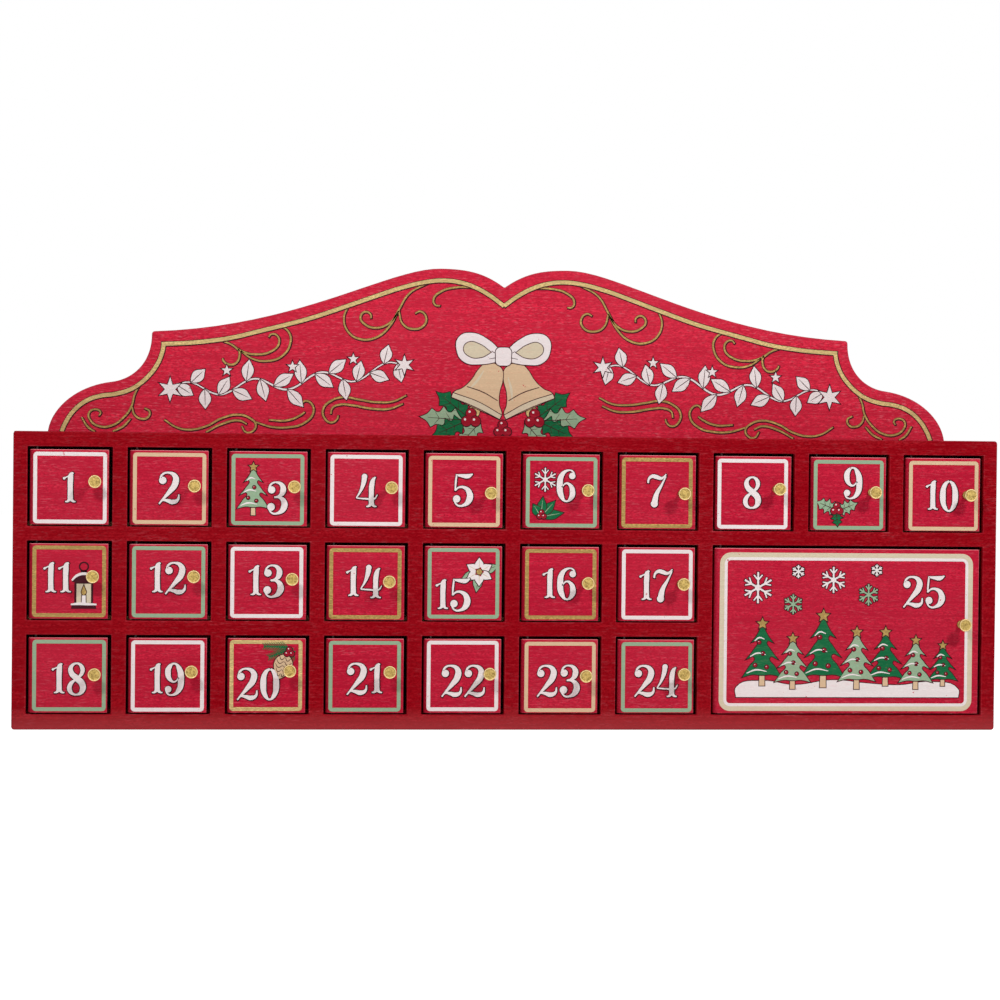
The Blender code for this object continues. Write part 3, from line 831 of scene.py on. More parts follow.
def make_knob():
    """One knob at the origin, its axis along Z."""
    bpy.ops.object.select_all(action="DESELECT")
    bpy.ops.mesh.primitive_circle_add(vertices=len(KNOB_PROFILE))
    knob = bpy.context.object
    mesh = bmesh.new()
    mesh.from_mesh(knob.data)
    mesh.verts.ensure_lookup_table()
    for corner, (radius, height) in zip(mesh.verts, KNOB_PROFILE):
        corner.co = (radius * MM, 0, height * MM)
    first, last = mesh.verts[0], mesh.verts[len(KNOB_PROFILE) - 1]
    mesh.edges.remove(mesh.edges.get((first, last)))
    mesh.to_mesh(knob.data)
    mesh.free()
    lathe = knob.modifiers.new("lathe", "SCREW")
    lathe.steps = lathe.render_steps = KNOB_STEPS
    lathe.use_merge_vertices = True
    lathe.merge_threshold = 0.02 * MM
    apply_modifiers(knob)
    bpy.ops.object.mode_set(mode="EDIT")
    bpy.ops.mesh.select_all(action="SELECT")
    bpy.ops.mesh.remove_doubles(threshold=0.01 * MM)
    bpy.ops.mesh.normals_make_consistent(inside=False)
    bpy.ops.object.mode_set(mode="OBJECT")
    bpy.ops.object.shade_smooth_by_angle(angle=math.radians(50))
    knob.data.materials.append(brass)
    return knob


model_knob = make_knob()
knobs = {number: f"knob_{number:02d}" for number in doors if f"knob_{number:02d}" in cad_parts}
for number, node_name in knobs.items():
    knob_low, knob_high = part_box(node_name)
    knob = copy_of(model_knob, "turned_" + node_name)
    knob.data.transform(Matrix.Translation(((knob_low.x + knob_high.x) / 2, doors[number][0].y,
                                            (knob_low.z + knob_high.z) / 2))
                        @ Matrix.Rotation(math.radians(90), 4, "X"))
    hang(knob, number, node_name)
print("knobs:", len(knobs), "of", len(model_knob.data.polygons), "faces")
bpy.data.objects.remove(model_knob)

# %% [markdown]
# ## Painted decoration
#
# The numbers, borders and ornaments are printed in thick colour. Each is made as a thin film on
# the wood, which is what print is, and its faces are flat, so it is shaded flat. All of them are
# first laid out on the floor, in millimetres, with X to the right, Y up and Z out of the wood,
# and then stood up against their door or the header.
#
# Three tools make every shape: a brush stroke, whose width changes along its way, a dot, and a
# sheet cut out along an outline. A fine ink line goes round most of them, as a ring that follows
# the shape's own edge. On numbers, band and scrolls it lies a little to the right and below, like
# a thin shadow. A film's level says how far it stands out, so what overlaps never fights.

# %% Flat films
FILM_BASE = 0.10
FILM_STEP = 0.05
INK_LOWER = 0.02
INK_WIDTH = 0.5
INK_SHADE = 0.14
STROKE_STEPS = 8
OUTLINE_STEPS = 6


def film_height(level):
    return (FILM_BASE + FILM_STEP * level) * MM


def stroke(points, closed=False, level=0):
    """A brush stroke through points, each given by x, y and the stroke's width there."""
    bpy.ops.object.select_all(action="DESELECT")
    bpy.ops.curve.primitive_bezier_curve_add()
    line = bpy.context.object.data
    line.twist_mode = "Z_UP"
    line.extrude = MM / 2
    line.resolution_u = STROKE_STEPS
    line.splines.clear()
    spline = line.splines.new("BEZIER")
    spline.bezier_points.add(len(points) - 1)
    spline.use_cyclic_u = closed
    spline.radius_interpolation = "CARDINAL"
    for knot, (x, y, width) in zip(spline.bezier_points, points):
        knot.co = (x * MM, y * MM, 0)
        knot.handle_left_type = knot.handle_right_type = "AUTO"
        knot.radius = width
        knot.tilt = math.radians(90)
    bpy.ops.object.convert(target="MESH")
    film = bpy.context.object
    thicken = film.modifiers.new("film", "SOLIDIFY")
    thicken.thickness = film_height(level)
    thicken.offset = 1
    apply_modifiers(film)
    return film


def dot(x, y, radius, level=0, corners=24):
    bpy.ops.object.select_all(action="DESELECT")
    height = film_height(level)
    bpy.ops.mesh.primitive_cylinder_add(vertices=corners, radius=radius * MM, depth=height,
                                        location=(x * MM, y * MM, height / 2))
    settle(bpy.context.object)
    return bpy.context.object


def cut_out(outline, level=0):
    """A sheet cut along an outline. It is sharp at a point marked "corner" and smooth elsewhere."""
    bpy.ops.object.select_all(action="DESELECT")
    bpy.ops.curve.primitive_bezier_circle_add()
    line = bpy.context.object.data
    line.dimensions = "2D"
    line.fill_mode = "BOTH"
    line.extrude = film_height(level) / 2
    line.resolution_u = OUTLINE_STEPS
    line.splines.clear()
    spline = line.splines.new("BEZIER")
    spline.bezier_points.add(len(outline) - 1)
    spline.use_cyclic_u = True
    for knot, place in zip(spline.bezier_points, outline):
        knot.co = (place[0] * MM, place[1] * MM, 0)
        knot.handle_left_type = knot.handle_right_type = "VECTOR" if len(place) == 3 else "AUTO"
    bpy.ops.object.convert(target="MESH")
    film = bpy.context.object
    film.data.transform(Matrix.Translation((0, 0, film_height(level) / 2)))
    bpy.ops.object.mode_set(mode="EDIT")
    bpy.ops.mesh.select_all(action="SELECT")
    bpy.ops.mesh.remove_doubles(threshold=0.01 * MM)
    bpy.ops.mesh.normals_make_consistent(inside=False)
    bpy.ops.object.mode_set(mode="OBJECT")
    return film


def fused(films):
    """One closed shape from films that overlap."""
    base = films[0]
    for other in films[1:]:
        union = base.modifiers.new("union", "BOOLEAN")
        union.operation = "UNION"
        union.solver = "MANIFOLD"
        union.object = other
        apply_modifiers(base)
        bpy.data.objects.remove(other)
    return base


def ink_round(film, shade):
    """A fine line round a film's edge, a little lower than it, and moved right and down by the shade."""
    ring = copy_of(film, "ink")
    select_only(ring)
    bpy.ops.object.mode_set(mode="EDIT")
    select_faces(ring, lambda face: abs(face.normal.z) > 0.5)
    bpy.ops.mesh.delete(type="FACE")
    bpy.ops.mesh.select_all(action="SELECT")
    bpy.ops.mesh.remove_doubles(threshold=0.03 * MM)
    bpy.ops.object.mode_set(mode="OBJECT")
    top = max(corner.co.z for corner in ring.data.vertices)
    ring.data.transform(Matrix.Scale(1 - INK_LOWER * MM / top, 4, (0, 0, 1)))
    line = ring.modifiers.new("line", "SOLIDIFY")
    line.thickness = 2 * INK_WIDTH * MM
    line.offset = 0
    line.use_even_offset = True
    apply_modifiers(ring)
    ring.data.transform(Matrix.Translation((shade * MM, -shade * MM, 0)))
    ring.data.materials.clear()
    ring.data.materials.append(ink_print)
    return ring


def printed(film, colour, inked=True, shade=0.0):
    """The film in its colour with its ink line, as a list of films."""
    film.data.materials.clear()
    film.data.materials.append(colour)
    return [film, ink_round(film, shade)] if inked else [film]


def stand_up(films, name, x, y, z):
    """Joins flat films and stands them up against a face at Y, with their origin at X and Z."""
    piece = join_as(name, films)
    piece.data.transform(Matrix.Translation((x, y, z)) @ Matrix.Rotation(math.radians(90), 4, "X"))
    bpy.ops.object.shade_flat()
    return piece


print("the lowest film stands out by", round(film_height(0) / MM, 2), "mm")

# %% [markdown]
# ### Borders
#
# Each door has a painted line a little inside its edge, with round outer corners and square
# inner ones. It is a flat plate whose middle is inset and taken out and whose four outer
# corners are rounded. The doors were printed by hand, one at a time, so no two borders sit at
# quite the same place. The table gives each one's place.

# %% Border shape
BORDER_SIZE = (43.6, 42.7)
BORDER_WIDTH = 2.3
BORDER_CORNER = 2.2


def frame_line(width, height, line_width, corner, level=0):
    """A flat frame of a line's width, its lower left corner at the origin.

    A corner that is rounder than the line is wide is rounded before the inset, so that the inner
    edge runs round with it. A smaller one is rounded after it, and the inner corners stay square.
    """
    bpy.ops.object.select_all(action="DESELECT")
    bpy.ops.mesh.primitive_plane_add(size=1, location=(width * MM / 2, height * MM / 2, 0))
    film = bpy.context.object
    film.scale = (width * MM, height * MM, 1)
    settle(film)
    bpy.ops.object.mode_set(mode="EDIT")
    bpy.ops.mesh.select_all(action="SELECT")
    if corner > line_width:
        bpy.ops.mesh.bevel(offset=corner * MM, segments=9, affect="VERTICES")
        bpy.ops.mesh.select_all(action="SELECT")
    bpy.ops.mesh.inset(thickness=line_width * MM)
    bpy.ops.mesh.delete(type="FACE")
    if corner <= line_width:
        bpy.ops.mesh.select_mode(type="VERT")
        mesh = bmesh.from_edit_mesh(film.data)
        for vert in mesh.verts:
            vert.select_set(any(abs(vert.co.x - x) < 0.1 * MM for x in (0, width * MM)))
        bmesh.update_edit_mesh(film.data)
        bpy.ops.mesh.bevel(offset=corner * MM, segments=7, affect="VERTICES")
    bpy.ops.mesh.select_all(action="SELECT")
    bpy.ops.mesh.extrude_region_move(TRANSFORM_OT_translate={"value": (0, 0, film_height(level))})
    bpy.ops.mesh.select_all(action="SELECT")
    bpy.ops.mesh.normals_make_consistent(inside=False)
    bpy.ops.object.mode_set(mode="OBJECT")
    return film


print("border corner radius:", BORDER_CORNER, "mm")

# %% Borders of the small doors
BORDER_COLOURS = {
    white_print: (1, 4, 8, 13, 17, 19, 22),
    tan_print: (2, 5, 10, 23),
    sage_print: (3, 6, 9, 12, 15, 18, 21, 24),
    gold_print: (7, 11, 14, 16),
    bright_gold_print: (20,),
}

# Each border's lower left corner from its door's, in millimetres
BORDER_PLACES = {
    1: (2.1, 0.7), 2: (1.9, 0.8), 3: (1.4, 0.6), 4: (1.5, 0.7), 5: (1.6, 0.6), 6: (1.8, 0.6),
    7: (1.3, 0.7), 8: (1.2, 0.6), 9: (1.7, 0.5), 10: (2.1, 0.4), 11: (2.0, 1.0), 12: (1.8, 1.0),
    13: (1.3, 1.0), 14: (1.4, 0.6), 15: (1.7, 1.1), 16: (1.8, 0.9), 17: (1.9, 1.0), 18: (2.4, 1.0),
    19: (1.7, 0.8), 20: (1.3, 1.2), 21: (1.6, 0.9), 22: (1.7, 1.2), 23: (2.0, 0.7), 24: (2.2, 0.7),
}

model_border = frame_line(*BORDER_SIZE, BORDER_WIDTH, BORDER_CORNER)
for colour, numbers in BORDER_COLOURS.items():
    for number in numbers:
        low = doors[number][0]
        from_left, from_below = BORDER_PLACES[number]
        border = copy_of(model_border, "border")
        border.data.materials.append(colour)
        border = stand_up([border], f"border_{number:02d}", low.x + from_left * MM, low.y,
                          low.z + from_below * MM)
        hang(border, number)
bpy.data.objects.remove(model_border)
print("borders:", sum(len(numbers) for numbers in BORDER_COLOURS.values()))

# %% [markdown]
# ### Numbers
#
# The numbers are in the fat Victorian style of playbills: swelling strokes, ball ends and
# little forked feet. Each digit is a few brush strokes and dots, fused into one shape, so that
# its ink line runs round the whole of it. A 9 is a 6 turned round, and the 1 is a little shorter
# than the others. The digits are drawn once and copied to the doors.

# %% Digits as brush strokes
def forked_foot(x):
    return [[(x + side * 0.2, 4.6, 3.0), (x - side * 0.5, 2.2, 2.4), (x - side * 1.7, 0.9, 1.5),
             (x - side * 3.1, 0.6, 0.8)] for side in (1, -1)]


# Width of the digit, its strokes (x, y, width) and its dots (x, y, radius), in millimetres
DIGITS = {
    "0": (12.4, [[(6.2, 19.2, 1.3), (3.9, 17.4, 2.7), (2.3, 10.0, 4.1), (3.9, 2.6, 2.7), (6.2, 0.8, 1.3),
                  (8.5, 2.6, 2.7), (10.1, 10.0, 4.1), (8.5, 17.4, 2.7), (6.6, 19.15, 1.3)]], []),
    "1": (8.2, [[(4.9, 1.9, 3.6), (4.8, 9.0, 3.4), (4.9, 15.0, 3.6), (5.3, 18.3, 3.0), (6.3, 19.6, 1.2)],
                [(0.9, 15.7, 1.5), (2.6, 16.6, 0.9), (4.6, 17.6, 1.2), (6.6, 19.5, 1.0)]]
          + forked_foot(4.9), [(1.1, 15.7, 0.75)]),
    "2": (13.4, [[(1.3, 14.8, 1.2), (2.6, 18.0, 1.4), (6.6, 19.2, 1.5), (10.4, 16.8, 3.6),
                  (10.3, 12.6, 4.2), (6.8, 7.6, 2.9), (3.0, 3.2, 1.4), (0.8, 0.5, 1.0)],
                 [(1.1, 1.0, 0.9), (2.8, 2.7, 1.3), (5.6, 2.5, 2.2), (9.0, 1.7, 3.1), (11.9, 3.0, 1.9),
                  (12.6, 6.2, 0.9)]], [(2.9, 14.6, 2.2)]),
    "3": (13.0, [[(1.5, 15.0, 1.2), (2.8, 18.2, 1.3), (6.2, 19.4, 1.3), (9.6, 17.4, 3.2),
                  (9.9, 13.8, 3.8), (7.8, 11.2, 1.9), (4.8, 10.4, 1.0)],
                 [(4.8, 10.4, 1.0), (8.2, 10.2, 2.0), (10.7, 7.6, 3.9), (10.3, 3.6, 4.0),
                  (7.0, 0.9, 1.8), (3.6, 0.9, 1.2), (1.2, 4.2, 1.2)]],
          [(3.2, 14.9, 2.2), (2.9, 4.6, 2.3)]),
    "4": (13.8, [[(5.3, 18.9, 3.3), (4.9, 15.6, 3.2), (3.0, 10.0, 1.7), (0.5, 5.8, 0.8)],
                 [(0.5, 5.7, 0.8), (6.0, 5.3, 1.1), (11.4, 5.4, 1.1), (13.2, 7.8, 0.7)],
                 [(9.6, 1.9, 3.5), (9.5, 8.0, 3.3), (9.8, 14.0, 3.4), (10.7, 17.0, 2.4),
                  (12.0, 18.4, 0.9)]] + forked_foot(9.6), [(5.3, 18.7, 1.65)]),
    "5": (13.2, [[(2.2, 19.3, 1.0), (5.8, 18.8, 2.2), (9.6, 18.6, 3.0), (12.4, 19.9, 0.9)],
                 [(2.7, 19.4, 1.1), (2.2, 15.0, 1.3), (1.9, 9.8, 1.0)],
                 [(1.9, 9.9, 1.0), (4.2, 11.8, 1.3), (7.6, 11.6, 2.2), (10.4, 8.8, 3.8),
                  (10.4, 4.2, 4.2), (7.0, 1.0, 1.9), (3.4, 0.9, 1.2), (1.1, 4.2, 1.2)]],
          [(2.8, 4.8, 2.2)]),
    "6": (12.6, [[(11.5, 16.2, 1.0), (10.3, 18.8, 1.1), (7.6, 19.5, 1.2), (3.8, 16.8, 3.2),
                  (2.4, 10.2, 4.2), (3.6, 3.6, 3.4), (6.4, 0.7, 1.2), (9.5, 3.0, 3.2), (10.2, 6.8, 3.8),
                  (8.8, 10.4, 2.4), (6.4, 11.6, 1.2), (3.6, 9.2, 0.9)]], [(10.0, 16.1, 1.95)]),
    "7": (12.6, [[(0.7, 14.9, 1.3), (1.2, 17.4, 1.5), (3.4, 19.0, 2.4), (6.0, 18.5, 2.8),
                  (9.0, 17.8, 1.9), (11.9, 20.2, 0.8)],
                 [(11.7, 19.0, 0.8), (9.0, 13.6, 1.7), (6.0, 8.0, 3.1), (4.7, 2.2, 4.3)]],
          [(4.7, 2.2, 2.15)]),
    "8": (12.6, [[(7.6, 19.2, 1.1), (5.4, 19.3, 1.4), (2.9, 16.8, 2.8), (3.4, 13.4, 3.6),
                  (6.4, 10.5, 4.0), (9.6, 7.2, 4.2), (9.8, 3.4, 3.6), (7.4, 0.9, 1.6), (5.2, 0.8, 1.1)],
                 [(7.4, 0.9, 1.1), (5.0, 0.8, 1.4), (2.4, 3.2, 3.0), (2.7, 6.8, 2.8), (6.0, 10.0, 1.4),
                  (9.4, 13.4, 2.4), (9.6, 16.8, 2.8), (7.2, 19.3, 1.5), (5.0, 19.2, 1.1)]], []),
}
NUMBER_HEIGHT = 20.0
NUMBER_LEVEL = 3
STROKE_SHARE = 0.87
ONE_SHARE = 0.92
ONE_RAISE = 1.3


def draw_digit(digit):
    """One digit in white, its lower left corner at the origin, with ink that shades it at the right."""
    width, strokes, dots = DIGITS["6" if digit == "9" else digit]
    slim = [[(x, y, size * STROKE_SHARE) for x, y, size in points] for points in strokes]
    shape = fused([stroke(points, level=NUMBER_LEVEL) for points in slim]
                  + [dot(*place, level=NUMBER_LEVEL) for place in dots])
    if digit == "9":
        shape.data.transform(Matrix.Translation((width * MM, NUMBER_HEIGHT * MM, 0))
                             @ Matrix.Rotation(math.radians(180), 4, "Z"))
    if digit == "1":
        shape.data.transform(Matrix.Translation((0, ONE_RAISE * MM, 0))
                             @ Matrix.Scale(ONE_SHARE, 4, (0, 1, 0)))
    return join_as("digit_" + digit, printed(shape, white_print, shade=INK_SHADE))


digits = {digit: draw_digit(digit) for digit in "0123456789"}
print("digits:", {digit: len(shape.data.vertices) for digit, shape in digits.items()})

# %% Numbers on the doors
DIGIT_GAP = 0.6

# Middle of each number from its door's lower left corner, in millimetres
NUMBER_PLACES = {
    1: (23.3, 21.9), 2: (23.4, 22.4), 3: (28.8, 17.0), 4: (23.7, 21.7), 5: (22.6, 22.6), 6: (26.3, 25.8),
    7: (23.0, 23.2), 8: (22.6, 22.7), 9: (26.2, 29.2), 10: (22.9, 21.7), 11: (16.6, 24.3),
    12: (23.2, 24.6), 13: (22.6, 23.2), 14: (22.4, 23.0), 15: (17.2, 15.4), 16: (22.8, 22.4),
    17: (23.0, 21.5), 18: (24.2, 20.2), 19: (23.2, 20.3), 20: (18.4, 17.4), 21: (23.0, 20.6),
    22: (23.8, 19.5), 23: (22.6, 19.6), 24: (23.7, 19.7), 25: (130.7, 74.9),
}

for number, (low, _) in doors.items():
    text = str(number)
    widths = [DIGITS["6" if digit == "9" else digit][0] for digit in text]
    middle_x, middle_z = NUMBER_PLACES[number]
    pen = -(sum(widths) + DIGIT_GAP * (len(text) - 1)) / 2
    shapes = []
    for digit, width in zip(text, widths):
        shapes.append(copy_of(digits[digit], "digit", (pen * MM, -NUMBER_HEIGHT / 2 * MM, 0)))
        pen += width + DIGIT_GAP
    figure = stand_up(shapes, f"number_{number:02d}", low.x + middle_x * MM, low.y, low.z + middle_z * MM)
    hang(figure, number)
for shape in digits.values():
    bpy.data.objects.remove(shape)
print("numbers: 1 to", DOOR_COUNT)

# %% [markdown]
# ### Pictures
#
# Six of the small doors and the large one carry a little picture besides their number. They are
# plain winter ornaments: a fir, a snowflake, holly, a lantern, a flower, a cone. Each is put
# together from a few shapes that are used again and again, so those are made first: leaves,
# stars, berries, flakes and firs, each with its ink line.
#
# A leaf is the same on both sides of its rib, so only one side of its outline is given, for a
# leaf of length 1 and width 1, and mirrored. A holly leaf has sharp points and side veins too.

# %% Leaves
def moved(films, x, y, turn=0.0):
    """Turns flat films by degrees about their origin and moves them, in millimetres."""
    place = Matrix.Translation((x * MM, y * MM, 0)) @ Matrix.Rotation(math.radians(turn), 4, "Z")
    for film in films:
        film.data.transform(place)
    return films


def both_sides(half, length=1.0, width=1.0):
    """A closed outline from points on one side of the X axis, mirrored to the other side."""
    upper = [(x * length, y * width, *mark) for x, y, *mark in half]
    lower = [(x, -y, *mark) for x, y, *mark in reversed(upper) if y]
    return upper + lower


LEAF_SIDE = [(0.0, 0.0, "corner"), (0.25, 0.36), (0.55, 0.48), (0.82, 0.22), (1.0, 0.0, "corner")]
HOLLY_SIDE = [(0.0, 0.0, "corner"), (0.10, 0.18), (0.20, 0.46, "corner"), (0.32, 0.27),
              (0.47, 0.50, "corner"), (0.58, 0.25), (0.74, 0.38, "corner"), (0.84, 0.15),
              (1.0, 0.0, "corner")]


def leaf(length, width, colour, level=0, side=LEAF_SIDE, rib_colour=None):
    """A leaf from the origin to the right, with a rib down its middle."""
    blade = printed(cut_out(both_sides(side, length, width), level), colour)
    rib = stroke([(length * 0.02, 0, 0.45), (length * 0.5, 0, 0.4), (length * 0.82, 0, 0.2)],
                 level=level + 1)
    return blade + printed(rib, rib_colour or ink_print, inked=False)


def holly_leaf(length, width, colour, level=0):
    veins = []
    for share in (0.30, 0.55):
        for side in (1, -1):
            vein = stroke([(length * share, 0, 0.3), (length * (share + 0.11), side * width * 0.26, 0.2)],
                          level=level + 0.8)
            veins += printed(vein, ink_print, inked=False)
    return leaf(length, width, colour, level, HOLLY_SIDE) + veins


print("points on one side:", len(LEAF_SIDE), "on a leaf and", len(HOLLY_SIDE), "on a holly leaf")


# %% Stars and berries
def star(radius, inner, colour, level=0, points=5, inked=True):
    outline = []
    for step in range(points * 2):
        angle = math.pi / 2 + math.pi * step / points
        reach = inner if step % 2 else radius
        outline.append((reach * math.cos(angle), reach * math.sin(angle), "corner"))
    return printed(cut_out(outline, level), colour, inked)


def berry(radius, level=2, colour=None):
    """A berry with a little spot of light."""
    fruit = printed(dot(0, 0, radius, level), colour or berry_print)
    light = dot(-radius * 0.3, radius * 0.35, radius * 0.24, level + 1, corners=12)
    return fruit + printed(light, white_print, inked=False)


def berries(radius, level=2):
    """Three berries in a cluster."""
    cluster = []
    for turn in (90, 210, 330):
        x = radius * 1.05 * math.cos(math.radians(turn))
        y = radius * 1.05 * math.sin(math.radians(turn))
        cluster += moved(berry(radius, level + turn / 400), x, y)
    return cluster


print("small shapes: star, berry, cluster of berries")

# %% [markdown]
# A snowflake is three bars across its middle and a pair of twigs on each of the six arms, fused
# into one shape. A fir is a mirrored outline too, on a small trunk, with a star at its tip,
# berries as baubles and a line of snow along each row of branches.

# %% Snowflakes and firs
def snowflake(radius, colour, level=0, width=0.8):
    arms = []
    for turn in range(0, 180, 60):
        arms += moved([stroke([(-radius, 0, width), (radius, 0, width)], level=level)], 0, 0, turn + 30)
    for turn in range(0, 360, 60):
        for side in (1, -1):
            twig = [(radius * 0.50, 0, width * 0.9),
                    (radius * 0.82, side * radius * 0.28, width * 0.7)]
            arms += moved([stroke(twig, level=level)], 0, 0, turn + 30)
    return printed(fused(arms + [dot(0, 0, radius * 0.2, level)]), colour)


FIR_SIDE = [(1.0, 0.0, "corner"), (0.82, 0.13), (0.70, 0.27, "corner"), (0.72, 0.13), (0.56, 0.24),
            (0.43, 0.40, "corner"), (0.46, 0.2), (0.30, 0.34), (0.14, 0.50, "corner"), (0.18, 0.25),
            (0.17, 0.0)]


def plate(low_half, low, high_half, high, level=0):
    """A sheet with four straight sides about the Y axis, from its half widths low and high up."""
    return cut_out([(-low_half, low, "corner"), (low_half, low, "corner"),
                    (high_half, high, "corner"), (-high_half, high, "corner")], level)


def fir(width, height, colour, level=0, baubles=()):
    """A fir on its trunk, its foot at the origin, with a star at its tip."""
    trunk = plate(width * 0.07, 0, width * 0.06, height * 0.25, level)
    outline = both_sides(FIR_SIDE, height, width)
    tree = moved([cut_out(outline, level + 1)], 0, 0, 90)[0]
    films = printed(trunk, tan_print) + printed(tree, colour)
    films += moved(star(width * 0.15, width * 0.07, gold_print, level + 2), 0, height)
    for x, y in baubles:
        films += moved(berry(width * 0.045, level + 2), x * width, y * height)
    for foot, reach in ((0.72, 0.20), (0.47, 0.31), (0.20, 0.40)):
        snow = [(-reach, foot, 0.5), (-reach * 0.4, foot + 0.055, 0.9), (reach * 0.3, foot + 0.03, 0.4)]
        snow = [(x * width, y * height, size) for x, y, size in snow]
        films += printed(stroke(snow, level=level + 2), white_print, inked=False)
    return films


print("points on one side of a fir:", len(FIR_SIDE))

# %% [markdown]
# The pictures of the small doors are laid out from the door's lower left corner, with X to the
# right and Y up.

# %% Small pictures
def picture_fir():
    return moved(fir(19, 29, sage_print, baubles=((0.1, 0.3), (-0.16, 0.36), (0.03, 0.58))), 14.5, 6.5)


def picture_flake():
    films = moved(snowflake(7.2, white_print, 1), 13.5, 29.5)
    for turn, length in ((10, 14), (48, 13), (84, 12), (122, 9)):
        films += moved(leaf(length, 5.6, green_print, level=turn / 60, rib_colour=sage_print), 11, 7, turn)
    return films + moved(berries(1.5, 3), 11.5, 8)


def picture_holly():
    films = moved(holly_leaf(13.5, 9, sage_print, 0), 16, 12.5, 158)
    films += moved(holly_leaf(13, 8.5, sage_print, 1), 17, 12, 22)
    films += moved(holly_leaf(9.5, 7, green_print, 1.6), 16, 12, 275)
    return films + moved(berries(2.0, 3), 16.3, 13)


def picture_lantern():
    """A dark lantern with a ring, a candle behind its pane, and snow on its roof and foot."""
    body = fused([plate(7.5, 0, 7, 2.6), plate(5.6, 2, 5.6, 16.5), plate(7.2, 16, 3.2, 20.5),
                  plate(1.8, 20, 1.8, 23)])
    films = printed(body, ink_print, inked=False)
    films += printed(plate(4.3, 3.6, 4.3, 15, 1), cream_print, inked=False)
    films += printed(plate(1.2, 3.6, 1.1, 8, 2), white_print)
    flame = cut_out([(0, 8, "corner"), (1.4, 9.8), (0.8, 11.8), (0, 13.8, "corner"), (-0.9, 11.6),
                     (-1.3, 9.6)], 2)
    films += printed(flame, gold_print)
    ring = [(0, 22.6, 0.9), (-2.6, 25.2, 0.9), (0, 27.8, 0.9), (2.6, 25.2, 0.9)]
    films += printed(stroke(ring, closed=True), ink_print, inked=False)
    for snow in ([(-7.1, 17, 1.0), (-4.2, 19.8, 1.5), (0, 21, 1.6), (4.2, 19.8, 1.5), (7.1, 17, 1.0)],
                 [(-7.6, 2.6, 1.0), (-3, 3.0, 1.6), (3, 2.8, 1.4), (7.6, 2.6, 1.0)]):
        films += printed(stroke(snow, level=3), white_print, inked=False)
    return moved(films, 32.5, 6)


def picture_flower():
    """A white flower with six petals, on three leaves."""
    films = []
    for turn in (18, 205, 262):
        films += moved(leaf(12.5, 5.6, sage_print, turn / 300), 0, 0, turn)
    for petal in range(6):
        films += moved(leaf(8.6, 5.2, white_print, 1.5 + petal * 0.15, rib_colour=cream_print), 0, 0,
                       petal * 60 + 30)
    films += printed(dot(0, 0, 1.7, 4), gold_print)
    for turn in range(0, 360, 72):
        spot = printed(dot(2.3, 0, 0.55, 4, corners=12), berry_print, inked=False)
        films += moved(spot, 0, 0, turn)
    return moved(films, 33, 29.5)


CONE_SIDE = [(0.0, 0.0), (0.12, 0.34), (0.42, 0.5), (0.75, 0.34), (1.0, 0.0, "corner")]


def needle_sprig(length, colour, level=0):
    """A sprig of fir from the origin to the right, with needles on both sides."""
    films = [stroke([(0, 0, 0.9), (length, 0, 0.4)], level=level)]
    for step in range(1, 11):
        along = length * step / 11
        reach = 4.6 - 2.0 * step / 11
        for side in (1, -1):
            films.append(stroke([(along, 0, 0.75), (along + reach * 0.8, side * reach * 0.72, 0.25)],
                                level=level + 0.05 * step + 0.02 * side))
    return [printed(film, colour, inked=False)[0] for film in films]


def picture_cone():
    films = []
    for place, turn in (((39.5, 39), 200), ((40.5, 37.5), 236), ((37.5, 39.6), 178)):
        films += moved(needle_sprig(16, green_print, turn / 200), *place, turn)
    cone = printed(cut_out(both_sides(CONE_SIDE, 15, 11), 3), tan_print)
    for row in range(1, 6):
        along = row * 2.5
        reach = 4.9 * math.sin(math.pi * min(row + 0.7, 5.6) / 6.6)
        scales = [(along - 1.1, -reach, 0.25), (along + 0.9, -reach * 0.5, 0.45), (along - 0.7, 0, 0.3),
                  (along + 0.9, reach * 0.5, 0.45), (along - 1.1, reach, 0.25)]
        cone += printed(stroke(scales, level=4), ink_print, inked=False)
    films += moved(cone, 35, 35, 255)
    return films + moved(berries(1.6, 4), 37, 36.5)


SMALL_PICTURES = {3: (picture_fir, "sage_paint"), 6: (picture_flake, "green_paint"),
                  9: (picture_holly, "sage_paint"), 11: (picture_lantern, "black_paint"),
                  15: (picture_flower, "white_paint"), 20: (picture_cone, "green_paint")}
for number, (draw, slot) in SMALL_PICTURES.items():
    low = doors[number][0]
    picture = stand_up(draw(), f"picture_{number:02d}", *low)
    hang(picture, number)
print("small pictures:", len(SMALL_PICTURES))

# %% [markdown]
# The large door has a double border, cream outside and white inside. Below and beside the
# number, a row of firs stands on a snowy rise, with flakes in the sky above.

# %% Large door
LARGE_LEFT = 3.3
LARGE_RIGHT = 3.8
LARGE_ABOVE = 2.6
LARGE_BELOW = 1.5
CREAM_LINE = 2.9
WHITE_LINE = 1.8
LARGE_CORNER = 6.8

large_low, large_high = doors[DOOR_COUNT]
large_width = (large_high.x - large_low.x) / MM - LARGE_LEFT - LARGE_RIGHT
large_height = (large_high.z - large_low.z) / MM - LARGE_ABOVE - LARGE_BELOW
outer_line = frame_line(large_width, large_height, CREAM_LINE, LARGE_CORNER)
inner_line = frame_line(large_width - 2 * CREAM_LINE, large_height - 2 * CREAM_LINE, WHITE_LINE,
                        LARGE_CORNER - CREAM_LINE)
outer_line.data.materials.append(cream_print)
inner_line.data.materials.append(white_print)
moved([inner_line], CREAM_LINE, CREAM_LINE)
large_border = stand_up([outer_line, inner_line], "border_25", large_low.x + LARGE_LEFT * MM, large_low.y,
                        large_low.z + LARGE_BELOW * MM)
hang(large_border, DOOR_COUNT)

